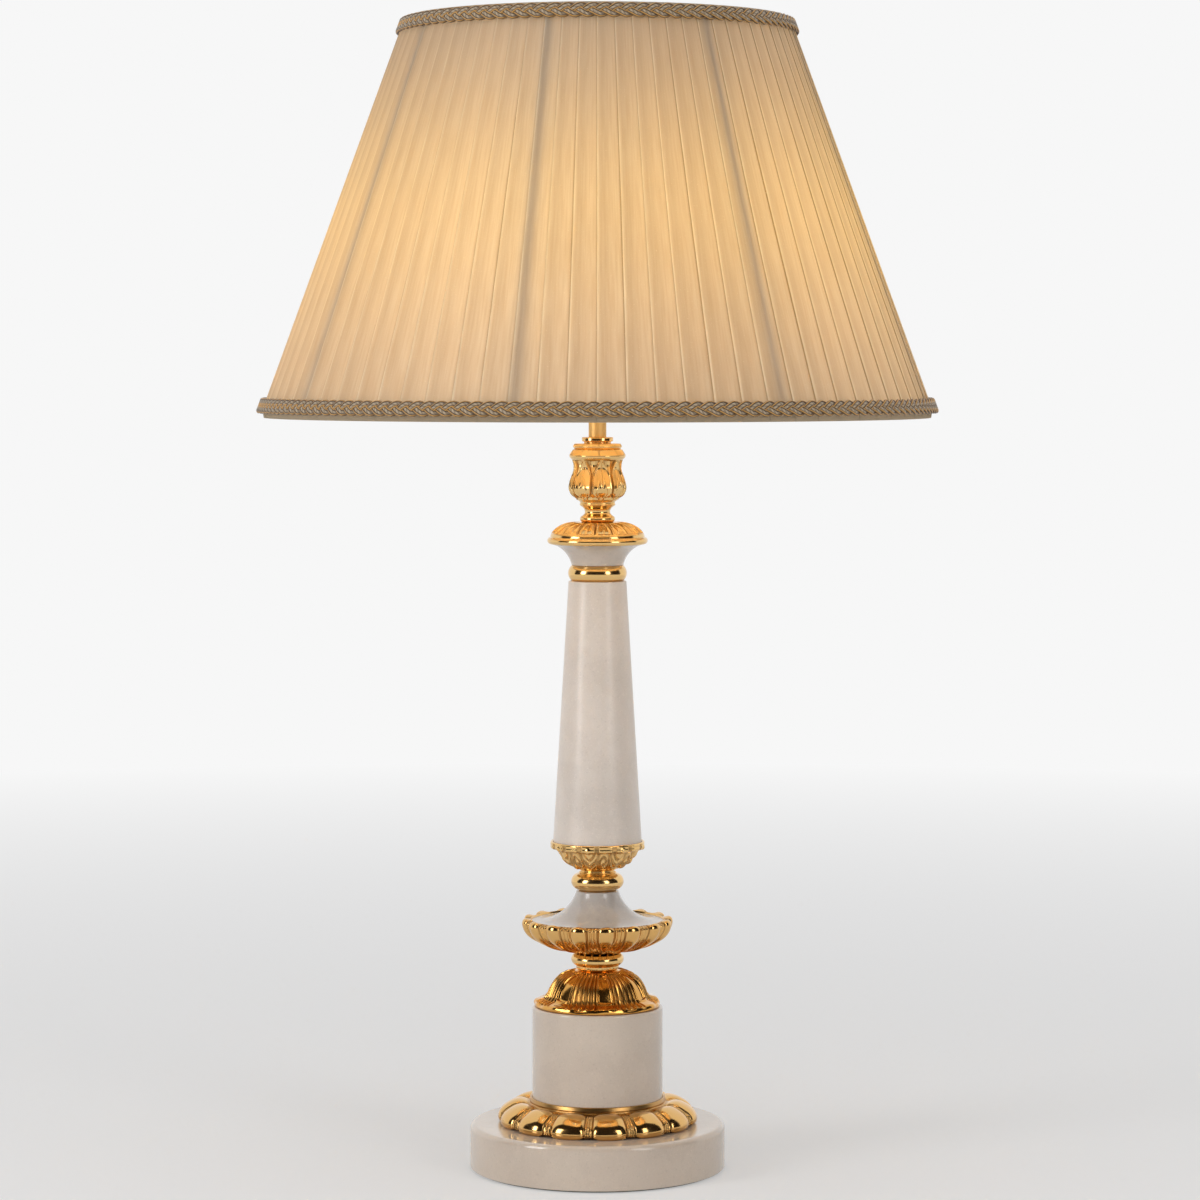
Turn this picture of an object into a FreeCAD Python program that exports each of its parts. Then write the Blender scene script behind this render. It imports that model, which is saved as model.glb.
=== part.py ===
import FreeCAD, Part
import math
import os
import re
import Sketcher

# Column table lamp, in millimetres. The lamp stands on Z = 0 with its axis on Z, and its front looks
# along -Y. Stones and gilt castings are stacked on a hollow tie rod, which a nut pulls together from
# a recess under the base. The rod carries the lampholder, and the lampholder carries the shade.
# Each piece is drawn from its own seat at height 0 and then lifted onto the piece that carries it.

SIZES = {
    # Clearances
    "rod_clearance": 0.2,
    "stone_clearance": 1.0,
    "seat_clearance": 0.2,
    "turning_clearance": 0.08,
    "fitter_clearance": 0.5,
    "socket_clearance": 0.3,
    # Felt and base stone with its cord inlet
    "felt_thickness": 1.0,
    "felt_inset": 3.0,
    "base_radius": 86.0,
    "base_height": 27.0,
    "base_edge": 1.6,
    "recess_radius": 24.0,
    "recess_depth": 16.0,
    "inlet_height": 8.5,
    "inlet_spot_depth": 1.5,
    "bush_bore_radius": 3.6,
    "bush_wall": 1.6,
    "bush_flange": 2.4,
    "bush_flange_thickness": 1.2,
    "bush_length": 16.0,
    # Tie rod and what clamps the stack from below
    "rod_radius": 5.0,
    "rod_bore_radius": 3.5,
    "rod_overhang": 2.0,
    "rod_engagement": 8.0,
    "cork_thickness": 1.0,
    "washer_radius": 20.0,
    "washer_thickness": 2.0,
    "lock_washer_radius": 8.5,
    "lock_washer_thickness": 2.0,
    "lock_washer_gap": 1.5,
    "nut_across_flats": 17.0,
    "nut_height": 5.0,
    # Gadrooned ring that holds the foot of the drum
    "ring_lobes": 14,
    "ring_ribs": 1,
    "ring_lobe_share": 0.78,
    "ring_first_lobe": 7.0,
    "ring_flute": 3.0,
    "ring_rib_rise": 1.8,
    "ring_reach": 21.7,
    "ring_shoulder_reach": 4.5,
    "ring_shoulder_height": 14.6,
    "ring_toe_height": 4.0,
    "ring_toe_curl": 1.2,
    "ring_lip_height": 19.9,
    "ring_lip_wall": 1.3,
    "ring_shelf_height": 12.0,
    "ring_shelf_width": 12.0,
    "ring_wall": 3.0,
    # Drum
    "drum_radius": 44.1,
    "drum_height": 68.6,
    "drum_edge": 1.5,
    # Ribbed dome on the drum
    "dome_lobes": 8,
    "dome_ribs": 4,
    "dome_lobe_share": 0.42,
    "dome_first_lobe": 8.5,
    "dome_flute": 1.1,
    "dome_rib_rise": 0.9,
    "dome_rim_radius": 42.6,
    "dome_rim_height": 6.6,
    "dome_rim_curl": 0.8,
    "dome_radius": 34.0,
    "dome_shoulder_height": 22.6,
    "dome_height": 25.4,
    "dome_neck_radius": 12.9,
    "dome_neck_fillet": 0.9,
    "dome_wall": 3.0,
    # Collars: turned beads between the larger pieces
    "lower_collar_radius": 17.8,
    "lower_collar_neck": 14.3,
    "lower_collar_foot": 2.4,
    "lower_collar_rim": 0.6,
    "lower_collar_height": 11.0,
    "mid_collar_radius": 17.8,
    "mid_collar_neck": 12.6,
    "mid_collar_foot": 0.9,
    "mid_collar_rim": 0.6,
    "mid_collar_height": 12.3,
    "upper_collar_radius": 19.9,
    "upper_collar_neck": 17.4,
    "upper_collar_foot": 0.4,
    "upper_collar_rim": 0.4,
    "upper_collar_height": 10.7,
    # Fluted dish
    "dish_lobes": 16,
    "dish_ribs": 1,
    "dish_lobe_share": 0.64,
    "dish_first_lobe": 7.0,
    "dish_flute": 2.2,
    "dish_rib_rise": 1.2,
    "dish_radius": 50.4,
    "dish_foot_radius": 16.2,
    "dish_foot_height": 1.2,
    "dish_root_radius": 13.0,
    "dish_belly_height": 20.0,
    "dish_height": 22.5,
    "dish_lip": 1.6,
    "dish_floor": 13.0,
    # Flared stone that sits in the dish
    "spool_radius": 44.6,
    "spool_brim_height": 8.5,
    "spool_waist_radius": 20.6,
    "spool_waist_height": 17.4,
    "spool_top_radius": 14.2,
    "spool_height": 28.5,
    # Leaf cup under the column
    "cup_lobes": 8,
    "cup_ribs": 1,
    "cup_lobe_share": 0.6,
    "cup_first_lobe": -12.0,
    "cup_flute": 1.3,
    "cup_rib_rise": 0.8,
    "cup_foot_radius": 13.4,
    "cup_foot_height": 3.0,
    "cup_throat_radius": 27.2,
    "cup_throat_height": 14.2,
    "cup_rim_height": 15.4,
    "cup_rim_wall": 1.5,
    "cup_floor": 18.2,
    "cup_height": 21.2,
    # Column
    "column_foot_radius": 30.1,
    "column_top_radius": 19.6,
    "column_height": 178.7,
    "column_edge": 0.8,
    # Capital
    "capital_foot_radius": 17.6,
    "capital_hollow_radius": 21.6,
    "capital_hollow_height": 8.2,
    "capital_top_radius": 31.0,
    "capital_height": 14.1,
    # Petalled cap on the capital
    "cap_lobes": 16,
    "cap_ribs": 1,
    "cap_lobe_share": 0.7,
    "cap_first_lobe": 8.0,
    "cap_flute": 1.2,
    "cap_rib_rise": 0.6,
    "cap_rim_radius": 34.0,
    "cap_bead_radius": 2.4,
    "cap_bead_height": 2.9,
    "cap_dome_radius": 32.0,
    "cap_dome_foot": 4.4,
    "cap_top_radius": 17.0,
    "cap_height": 14.9,
    # Tulip and the two discs above it
    "tulip_lobes": 8,
    "tulip_ribs": 1,
    "tulip_lobe_share": 0.74,
    "tulip_first_lobe": 10.0,
    "tulip_flute": 1.3,
    "tulip_rib_rise": 0.7,
    "tulip_foot_radius": 11.8,
    "tulip_foot_height": 4.8,
    "tulip_neck_radius": 8.6,
    "tulip_neck_height": 7.3,
    "tulip_step_radius": 12.0,
    "tulip_step_low": 11.0,
    "tulip_step_high": 13.6,
    "tulip_bowl_radius": 19.9,
    "tulip_bowl_height": 22.9,
    "tulip_waist_radius": 16.1,
    "tulip_waist_height": 38.4,
    "tulip_lip_radius": 19.0,
    "tulip_lip_height": 44.2,
    "tulip_top_radius": 16.7,
    "tulip_height": 49.2,
    "tulip_disc_radius": 16.8,
    "tulip_disc_edge": 15.4,
    "tulip_disc_height": 3.9,
    "top_disc_radius": 10.6,
    "top_disc_foot_radius": 9.2,
    "top_disc_foot_height": 1.3,
    "top_disc_height": 4.3,
    "stem_radius": 6.0,
    "stem_height": 19.2,
    # Lampholder
    "holder_neck_radius": 8.0,
    "holder_neck_height": 8.6,
    "holder_floor_height": 10.2,
    "holder_radius": 19.5,
    "holder_wall": 1.2,
    "holder_flare_radius": 16.2,
    "holder_flare_middle": 10.6,
    "holder_flare_height": 15.0,
    "holder_shoulder_radius": 14.0,
    "holder_shoulder_height": 16.5,
    "holder_cap_height": 20.0,
    "holder_shell_height": 26.0,
    "insert_floor": 6.0,
    "screw_shell_wall": 0.4,
    "screw_shell_height": 20.0,
    "screw_shell_hole": 8.0,
    "tongue_length": 7.0,
    "tongue_foot": 2.5,
    "tongue_land": 2.0,
    "tongue_width": 5.0,
    "tongue_thickness": 0.6,
    "tongue_rise": 2.5,
    "terminal_radius": 2.0,
    "terminal_height": 3.6,
    "terminal_spread": 5.6,
    # Shade rings on the lampholder's thread
    "shade_ring_radius": 25.0,
    "shade_ring_grips": 12,
    "shade_ring_grip_radius": 1.6,
    "lower_ring_lift": 3.5,
    "lower_ring_height": 4.0,
    "upper_ring_height": 4.5,
    # Bulb
    "bulb_tip_foot_radius": 3.2,
    "bulb_tip_radius": 4.6,
    "bulb_tip_height": 1.6,
    "bulb_insulator_height": 5.6,
    "bulb_insulator_depth": 3.0,
    "bulb_cap_radius": 13.1,
    "bulb_cap_wall": 0.4,
    "bulb_cap_height": 20.0,
    "bulb_seal_depth": 3.6,
    "bulb_neck_height": 31.0,
    "bulb_throat_radius": 14.4,
    "bulb_throat_height": 43.0,
    "bulb_shoulder_radius": 19.3,
    "bulb_radius": 30.0,
    "bulb_middle_height": 77.6,
    "bulb_wall": 0.9,
    "mount_radius": 4.0,
    "mount_foot": 1.5,
    "mount_height": 34.0,
    "filament_radius": 0.5,
    "filament_reach": 12.0,
    "filament_foot_reach": 2.5,
    "filament_lead": 18.0,
    # Shade frame
    "fitter_reach": 29.0,
    "fitter_thickness": 2.0,
    "fitter_arms": 4,
    "arm_root_radius": 27.0,
    "wire_radius": 1.6,
    "shade_struts": 8,
    "first_strut": -13.5,
    "first_arm": 9.0,
    "shade_drop": 32.0,
    "shade_height": 268.0,
    # Shade cloth and trim
    "cover_knee_radius": 225.4,
    "cover_hem_tuck": 0.7,
    "cover_knee_height": 5.5,
    "cover_top_radius": 130.4,
    "cover_pleats": 88,
    "pleat_depth": 1.3,
    "pleat_return": 0.16,
    "cover_thickness": 0.8,
    "hem_thickness": 1.0,
    "lining_gap": 0.2,
    "lining_thickness": 0.6,
    "lining_lift": 4.8,
    "braid_width": 10.5,
    "braid_thickness": 3.8,
    "bottom_braid_lift": 3.0,
    "top_braid_drop": 0.3,
}

# Angles count from +X, and the front is -Y
FRONT_ANGLE = -90.0
# Half a flat of an octagon, and its corner, as shares of the circle inside it
FLAT = math.sqrt(2) - 1
CORNER = math.sqrt(1 + FLAT ** 2)

# Each piece of the stack with the height it adds under the next one
STACK = [
    ("felt_pad", "felt_thickness"),
    ("base_disc", "base_height"),
    ("gadroon_ring", "ring_shelf_height"),
    ("drum", "drum_height"),
    ("dome_rosette", "dome_height"),
    ("lower_collar", "lower_collar_height"),
    ("dish", "dish_floor"),
    ("spool", "spool_height"),
    ("mid_collar", "mid_collar_height"),
    ("leaf_cup", "cup_floor"),
    ("column", "column_height"),
    ("upper_collar", "upper_collar_height"),
    ("capital", "capital_height"),
    ("petal_cap", "cap_height"),
    ("tulip", "tulip_height"),
    ("tulip_disc", "tulip_disc_height"),
    ("top_disc", "top_disc_height"),
    ("stem_tube", "stem_height"),
    ("holder_cap", "holder_cap_height"),
    ("holder_shell", "holder_shell_height"),
]

# Sizes that several pieces share, as sums of the sheet's names
ROD_HOLE = "rod_radius + rod_clearance"
STONE_HOLE = "rod_radius + stone_clearance"
HOLDER_BORE = "holder_radius - holder_wall"
SOCKET_RADIUS = "bulb_cap_radius + socket_clearance"
CAP_BORE = "bulb_cap_radius - bulb_cap_wall"
CAP_TOP = "bulb_insulator_height + bulb_cap_height"
# Where the globe of the bulb meets its neck, on a sphere that is a wall inside the outer one
GLOBE_FOOT = "bulb_middle_height - sqrt((bulb_radius - %s)^2 - (bulb_shoulder_radius - %s)^2)"
COVER_WALL = "pleat_depth + cover_thickness"
COVER_SLOPE = "(cover_knee_radius - cover_top_radius) / (shade_height - cover_knee_height)"
WIRE_HEIGHT = "hem_thickness + wire_radius"
HEM_RADIUS = "cover_knee_radius - cover_hem_tuck"
BOTTOM_WIRE = HEM_RADIUS + " - pleat_depth - cover_thickness - wire_radius"

doc = FreeCAD.newDocument("ColumnTableLamp")
sheet = doc.addObject("Spreadsheet::Sheet", "Sizes")
pieces = []


def fill_sheet():
    for row, (name, value) in enumerate(SIZES.items(), start=1):
        sheet.set("A%d" % row, name)
        sheet.set("B%d" % row, str(value))
        sheet.setAlias("B%d" % row, name)
    doc.recompute()


def cells(text):
    """Plain size names turned into references to the sheet's cells."""
    return re.sub(r"[a-z][a-z_]+", lambda word: "Sizes." + word.group(0) if word.group(0) in SIZES
                  else word.group(0), text)


def size(text):
    """The value of a sum of size names."""
    return float(sheet.evalExpression(cells(text)))


def bind(thing, path, text):
    thing.setExpression(path, cells(text))


def keep(thing, label):
    thing.Label = label
    pieces.append(thing)
    return thing


def origin_feature(body, role):
    return [feature for feature in body.Origin.OriginFeatures if feature.Role == role][0]


def new_sketch(body, name, plane):
    sketch = body.newObject("Sketcher::SketchObject", name)
    sketch.AttachmentSupport = [(origin_feature(body, plane), "")]
    sketch.MapMode = "FlatFace"
    return sketch


def pin_point(sketch, edge, end, across, up):
    """Fix one point of an edge by two size expressions, or on an axis where one is 0."""
    for kind, axis, text in (("DistanceX", -2, across), ("DistanceY", -1, up)):
        if text == "0":
            sketch.addConstraint(Sketcher.Constraint("PointOnObject", edge, end, axis))
        else:
            number = sketch.addConstraint(Sketcher.Constraint(kind, -1, 1, edge, end, size(text)))
            bind(sketch, "Constraints[%d]" % number, text)


def end_at(sketch, edge, point):
    """Which end of an edge lies at a point, 1 or 2: an arc may be stored the other way round."""
    return min((1, 2), key=lambda end: sketch.getPoint(edge, end).distanceToPoint(point))


def draw_outline(body, name, plane, corners):
    """A closed outline. A corner is (across, up), reached by a line, or (across, up, mid_across,
    mid_up), reached by an arc through the middle point. Every size is a sum of size names."""
    sketch = new_sketch(body, name, plane)
    points = [FreeCAD.Vector(size(corner[0]), size(corner[1]), 0) for corner in corners]
    edges = []
    for index, corner in enumerate(corners):
        if len(corner) == 2:
            curve = Part.LineSegment(points[index - 1], points[index])
        else:
            middle = FreeCAD.Vector(size(corner[2]), size(corner[3]), 0)
            curve = Part.Arc(points[index - 1], middle, points[index])
        edges.append(sketch.addGeometry(curve, False))
    for index, corner in enumerate(corners):
        edge = edges[index]
        after = edges[(index + 1) % len(edges)]
        end = end_at(sketch, edge, points[index])
        start = end_at(sketch, after, points[index])
        sketch.addConstraint(Sketcher.Constraint("Coincident", edge, end, after, start))
        pin_point(sketch, edge, end, corner[0], corner[1])
        if len(corner) == 4:
            middle = FreeCAD.Vector(size(corner[2]), size(corner[3]), 0)
            point = sketch.addGeometry(Part.Point(middle), True)
            sketch.addConstraint(Sketcher.Constraint("PointOnObject", point, 1, edge))
            pin_point(sketch, point, 1, corner[2], corner[3])
    return sketch


def add_circle(sketch, radius, across="0", up="0"):
    centre = FreeCAD.Vector(size(across), size(up), 0)
    circle = sketch.addGeometry(Part.Circle(centre, FreeCAD.Vector(0, 0, 1), size(radius)), False)
    pin_point(sketch, circle, 3, across, up)
    number = sketch.addConstraint(Sketcher.Constraint("Radius", circle, size(radius)))
    bind(sketch, "Constraints[%d]" % number, radius)


def turned(label, seat, corners):
    """A body turned on the Z axis from its half outline, lifted to its seat."""
    body = keep(doc.addObject("PartDesign::Body", label), label)
    sketch = draw_outline(body, label + "_outline", "XZ_Plane", corners)
    turn = body.newObject("PartDesign::Revolution", label + "_turned")
    turn.Profile = (sketch, [""])
    turn.ReferenceAxis = (sketch, ["V_Axis"])
    turn.Angle = 360
    bind(body, "Placement.Base.z", seat)
    doc.recompute()
    return body


def padded(label, seat, plane, corners, depth, hole=None, both_ways=False):
    """A body with its outline padded to a depth, with an optional round hole on the axis."""
    body = keep(doc.addObject("PartDesign::Body", label), label)
    sketch = draw_outline(body, label + "_outline", plane, corners)
    if hole:
        add_circle(sketch, hole)
    pad = body.newObject("PartDesign::Pad", label + "_pad")
    pad.Profile = (sketch, [""])
    pad.Midplane = both_ways
    bind(pad, "Length", depth)
    bind(body, "Placement.Base.z", seat)
    doc.recompute()
    return body


def cut_pocket(body, sketch, depth):
    """A pocket against the sketch's normal, checked by the volume it takes away."""
    before = body.Tip.Shape.Volume
    pocket = body.newObject("PartDesign::Pocket", sketch.Name + "_cut")
    pocket.Profile = (sketch, [""])
    bind(pocket, "Length", depth)
    doc.recompute()
    if pocket.Shape.Volume > before - 1e-3:
        raise RuntimeError("%s cuts nothing" % pocket.Name)
    return pocket


def repeat_round_axis(body, feature, count):
    """A polar pattern of one feature about the body's Z axis."""
    pattern = body.newObject("PartDesign::PolarPattern", feature.Name + "_ring")
    pattern.Originals = [feature]
    pattern.Axis = (origin_feature(body, "Z_Axis"), [""])
    pattern.Angle = 360
    bind(pattern, "Occurrences", count)
    body.Tip = pattern
    doc.recompute()


def round_edges(body, radius, rings):
    """A fillet on the circular edges at the given (radius, height) pairs of the body's last shape."""
    base = body.Tip
    chosen = []
    for number, edge in enumerate(base.Shape.Edges, start=1):
        if not isinstance(edge.Curve, Part.Circle):
            continue
        for across, up in rings:
            same_radius = abs(edge.Curve.Radius - size(across)) < 0.01
            same_height = abs(edge.Curve.Center.z - size(up)) < 0.01
            if same_radius and same_height:
                chosen.append("Edge%d" % number)
    fillet = body.newObject("PartDesign::Fillet", body.Name + "_edges")
    fillet.Base = (base, chosen)
    bind(fillet, "Radius", radius)
    body.Tip = fillet
    doc.recompute()


def polar(radius, degrees, height):
    angle = math.radians(degrees)
    return FreeCAD.Vector(radius * math.cos(angle), radius * math.sin(angle), height)


def lobed_wire(name, radius, height, depth):
    """One level of a lobed casting. Each wide lobe is an arc whose crest is on the radius and whose
    ends are one flute inside it, and the space up to the next lobe is filled with narrow ridges."""
    lobes = int(size(name + "_lobes"))
    ribs = int(size(name + "_ribs"))
    pitch = 360.0 / lobes
    half_lobe = size(name + "_lobe_share") * pitch / 2
    rib_angle = (pitch - 2 * half_lobe) / ribs
    valley = radius - size(name + "_flute") * depth
    rib_crest = valley + size(name + "_rib_rise") * depth
    edges = []
    for index in range(lobes):
        middle = FRONT_ANGLE + size(name + "_first_lobe") + index * pitch
        right = middle + half_lobe
        edges.append(Part.Arc(polar(valley, middle - half_lobe, height), polar(radius, middle, height),
                              polar(valley, right, height)).toShape())
        for rib in range(ribs):
            left = right + rib * rib_angle
            crest = polar(rib_crest, left + rib_angle / 2, height)
            edges.append(Part.LineSegment(polar(valley, left, height), crest).toShape())
            edges.append(Part.LineSegment(crest, polar(valley, left + rib_angle, height)).toShape())
    return Part.Wire(edges)


def lobed_casting(name, levels):
    """A lobed solid through its levels, each (radius, height, depth of the flutes from 0 to 1)."""
    return Part.makeLoft([lobed_wire(name, *level) for level in levels], True, True)


def quarter(inner, outer, outer_height, inner_height, count, last=90.0):
    """Points on a quarter ellipse, from its outer end to the given angle towards its inner end."""
    points = []
    for index in range(count + 1):
        angle = math.radians(last * index / count)
        points.append((inner + (outer - inner) * math.cos(angle),
                       outer_height + (inner_height - outer_height) * math.sin(angle)))
    return points


def eased(start, end, count):
    """Points on a half wave from one (radius, height) to the next, without the first."""
    points = []
    for index in range(1, count + 1):
        share = index / count
        wave = (1 - math.cos(math.pi * share)) / 2
        points.append((start[0] + (end[0] - start[0]) * wave, start[1] + (end[1] - start[1]) * share))
    return points


def spun(corners):
    """A plain turned solid from (radius, height) numbers, for the round parts of a casting."""
    points = [FreeCAD.Vector(radius, 0, height) for radius, height in corners]
    face = Part.Face(Part.makePolygon(points + points[:1]))
    return face.revolve(FreeCAD.Vector(0, 0, 0), FreeCAD.Vector(0, 0, 1), 360)


def band(inner, outer, low, high):
    return spun([(inner, low), (outer, low), (outer, high), (inner, high)])


def casting(label, seat, solid):
    """A piece whose lobes or pleats no sketch feature makes, lifted to its seat."""
    thing = keep(doc.addObject("Part::Feature", label), label)
    thing.Shape = solid.removeSplitter()
    thing.Placement = FreeCAD.Placement(FreeCAD.Vector(0, 0, size(seat)), FreeCAD.Rotation())
    return thing


def stack_seats():
    """The seat of each piece of the stack, as the sum of the heights below it."""
    seats = {}
    below = "0"
    for label, rise in STACK:
        seats[label] = below
        below = rise if below == "0" else below + " + " + rise
    return seats


# Foot of the lamp and its clamping hardware

def make_felt(seats):
    turned("felt_pad", seats["felt_pad"], [
        ("0", "0"),
        ("base_radius - felt_inset", "0"),
        ("base_radius - felt_inset", "felt_thickness"),
        ("0", "felt_thickness"),
    ])


def make_base(seats):
    """The base stone: a rounded disc with a recess below and a cord hole at the back."""
    body = turned("base_disc", seats["base_disc"], [
        ("recess_radius", "0"),
        ("base_radius", "0"),
        ("base_radius", "base_height"),
        (STONE_HOLE, "base_height"),
        (STONE_HOLE, "recess_depth"),
        ("recess_radius", "recess_depth"),
    ])
    hole = new_sketch(body, "cord_hole", "XZ_Plane")
    add_circle(hole, "bush_bore_radius + bush_wall + seat_clearance", "0", "inlet_height")
    cut_pocket(body, hole, "base_radius")
    spot_face = new_sketch(body, "cord_spot_face", "XZ_Plane")
    bind(spot_face, "AttachmentOffset.Base.z", "inlet_spot_depth - base_radius")
    add_circle(spot_face, "bush_bore_radius + bush_wall + bush_flange + seat_clearance", "0",
               "inlet_height")
    cut_pocket(body, spot_face, "inlet_spot_depth + inlet_spot_depth")
    round_edges(body, "base_edge", [("base_radius", "base_height")])


def make_cord_bush():
    """The bush that lines the cord hole, turned on its own axis and laid along +Y."""
    body = turned("cord_bush", "felt_thickness + inlet_height", [
        ("bush_bore_radius", "0"),
        ("bush_bore_radius + bush_wall", "0"),
        ("bush_bore_radius + bush_wall", "bush_length"),
        ("bush_bore_radius + bush_wall + bush_flange", "bush_length"),
        ("bush_bore_radius + bush_wall + bush_flange", "bush_length + bush_flange_thickness"),
        ("bush_bore_radius", "bush_length + bush_flange_thickness"),
    ])
    body.Placement.Rotation = FreeCAD.Rotation(FreeCAD.Vector(1, 0, 0), -90)
    bind(body, "Placement.Base.y", "base_radius - inlet_spot_depth - bush_length")


def make_clamp(seats):
    """What pulls the stack together from the recess: cork, washers and nut on the tie rod."""
    cork_seat = seats["base_disc"] + " + recess_depth - cork_thickness"
    washer_seat = cork_seat + " - washer_thickness"
    lock_seat = washer_seat + " - lock_washer_thickness"
    nut_seat = lock_seat + " - nut_height"
    rod_seat = nut_seat + " - rod_overhang"
    for label, seat, hole, thickness in (("cork_washer", cork_seat, STONE_HOLE, "cork_thickness"),
                                         ("steel_washer", washer_seat, ROD_HOLE,
                                          "washer_thickness")):
        turned(label, seat, [
            (hole, "0"),
            ("washer_radius", "0"),
            ("washer_radius", thickness),
            (hole, thickness),
        ])
    lock = turned("lock_washer", lock_seat, [
        (ROD_HOLE, "0"),
        ("lock_washer_radius", "0"),
        ("lock_washer_radius", "lock_washer_thickness"),
        (ROD_HOLE, "lock_washer_thickness"),
    ])
    gap = draw_outline(lock, "lock_washer_split", "XY_Plane", [
        ("0", "0"),
        ("washer_radius", "0"),
        ("washer_radius", "lock_washer_gap"),
        ("0", "lock_washer_gap"),
    ])
    bind(gap, "AttachmentOffset.Base.z", "lock_washer_thickness")
    cut_pocket(lock, gap, "lock_washer_thickness")
    corner = "nut_across_flats / sqrt(3)"
    padded("base_nut", nut_seat, "XY_Plane", [
        (corner, "0"),
        (corner + " / 2", "nut_across_flats / 2"),
        ("-" + corner + " / 2", "nut_across_flats / 2"),
        ("-" + corner, "0"),
        ("-" + corner + " / 2", "-nut_across_flats / 2"),
        (corner + " / 2", "-nut_across_flats / 2"),
    ], "nut_height", hole="rod_radius")
    length = "(%s + rod_engagement) - (%s)" % (seats["holder_cap"], rod_seat)
    turned("tie_rod", rod_seat, [
        ("rod_bore_radius", "0"),
        ("rod_radius", "0"),
        ("rod_radius", length),
        ("rod_bore_radius", length),
    ])


# Stones, collars and gilt castings of the stem

def make_gadroon_ring(seats):
    """A ring of fat lobes with narrow ribs between them, and an upright band round the drum."""
    pocket = size("drum_radius + seat_clearance")
    lip = pocket + size("ring_lip_wall")
    reach = lip + size("ring_reach")
    shoulder = lip + size("ring_shoulder_reach")
    toe = size("ring_toe_height")
    shelf = size("ring_shelf_height")
    under_shelf = shelf - size("ring_wall")
    hollow = reach - size("ring_flute + ring_wall")
    top = size("ring_lip_height")
    levels = [(reach - size("ring_toe_curl"), 0, 1)]
    for radius, height in quarter(shoulder, reach, toe, size("ring_shoulder_height"), 4):
        levels.append((radius, height, 0.15 + 0.85 * (radius - shoulder) / (reach - shoulder)))
    solid = lobed_casting("ring", levels).fuse(band(pocket - 1, lip, shelf, top))
    solid = solid.cut(band(0, pocket, shelf, top + 1))
    solid = solid.cut(band(0, pocket - size("ring_shelf_width"), -1, top))
    solid = solid.cut(spun([(0, -1), (hollow, -1), (hollow, toe), (lip, under_shelf),
                            (0, under_shelf)]))
    casting("gadroon_ring", seats["gadroon_ring"], solid)


def make_drum(seats):
    body = turned("drum", seats["drum"], [
        (STONE_HOLE, "0"),
        ("drum_radius", "0"),
        ("drum_radius", "drum_height"),
        (STONE_HOLE, "drum_height"),
    ])
    round_edges(body, "drum_edge", [("drum_radius", "drum_height")])


def make_dome(seats):
    """A ribbed dome: smooth panels and groups of ribs that run out into a flared rim."""
    rim = size("dome_rim_radius")
    rim_height = size("dome_rim_height")
    foot = size("dome_radius")
    neck = size("dome_neck_radius")
    shoulder = size("dome_shoulder_height")
    roof = shoulder - size("dome_wall")
    rod_hole = size(ROD_HOLE)
    levels = [(rim - size("dome_rim_curl"), 0, 1), (rim, 0.4 * rim_height, 1)]
    for radius, height in quarter(neck, foot, rim_height, shoulder, 5):
        levels.append((radius, height, 0.3 + 0.7 * (radius - neck) / (foot - neck)))
    solid = lobed_casting("dome", levels)
    fillet = neck + size("dome_neck_fillet")
    middle = (shoulder + size("dome_height")) / 2
    solid = solid.fuse(band(0, neck, shoulder - 1, size("dome_height")))
    solid = solid.fuse(band(0, fillet, shoulder - 1, middle))
    inner = foot - size("dome_wall + dome_flute")
    hollow = [(0, -1), (inner, -1)] + quarter(rod_hole, inner, 0, roof, 4) + [(0, roof)]
    solid = solid.cut(spun(hollow)).cut(band(0, rod_hole, -1, size("dome_height") + 1))
    casting("dome_rosette", seats["dome_rosette"], solid)


def make_collar(label, name, seat):
    """A turned collar: a half-round bead between two short necks."""
    foot = name + "_foot"
    brow = "%s_height - %s_rim" % (name, name)
    turned(label, seat, [
        (ROD_HOLE, "0"),
        (name + "_neck", "0"),
        (name + "_neck", foot),
        (name + "_neck", brow, name + "_radius", "(%s + %s) / 2" % (foot, brow)),
        (name + "_neck", name + "_height"),
        (ROD_HOLE, name + "_height"),
    ])


def make_dish(seats):
    """A shallow fluted dish that opens upwards and holds the brim of the flared stone."""
    rim = size("dish_radius")
    root = size("dish_root_radius")
    top = size("dish_height")
    belly = size("dish_belly_height")
    pocket = size("spool_radius + seat_clearance")
    foot_height = size("dish_foot_height")
    levels = [(size("dish_foot_radius"), 0, 0.15)]
    for radius, height in reversed(quarter(root, rim, belly, foot_height, 6, last=78)):
        levels.append((radius, height, (radius - root) / (rim - root)))
    levels.append((rim - 0.3 * size("dish_lip"), (belly + top) / 2, 1))
    levels.append((rim - size("dish_lip"), top, 0.9))
    solid = lobed_casting("dish", levels)
    solid = solid.cut(band(0, pocket, size("dish_floor"), top + 1))
    solid = solid.cut(band(0, size(ROD_HOLE), -1, top))
    casting("dish", seats["dish"], solid)


def make_spool(seats):
    turned("spool", seats["spool"], [
        (STONE_HOLE, "0"),
        ("spool_radius", "0"),
        ("spool_radius", "spool_brim_height"),
        ("spool_top_radius", "spool_height", "spool_waist_radius", "spool_waist_height"),
        (STONE_HOLE, "spool_height"),
    ])


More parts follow.
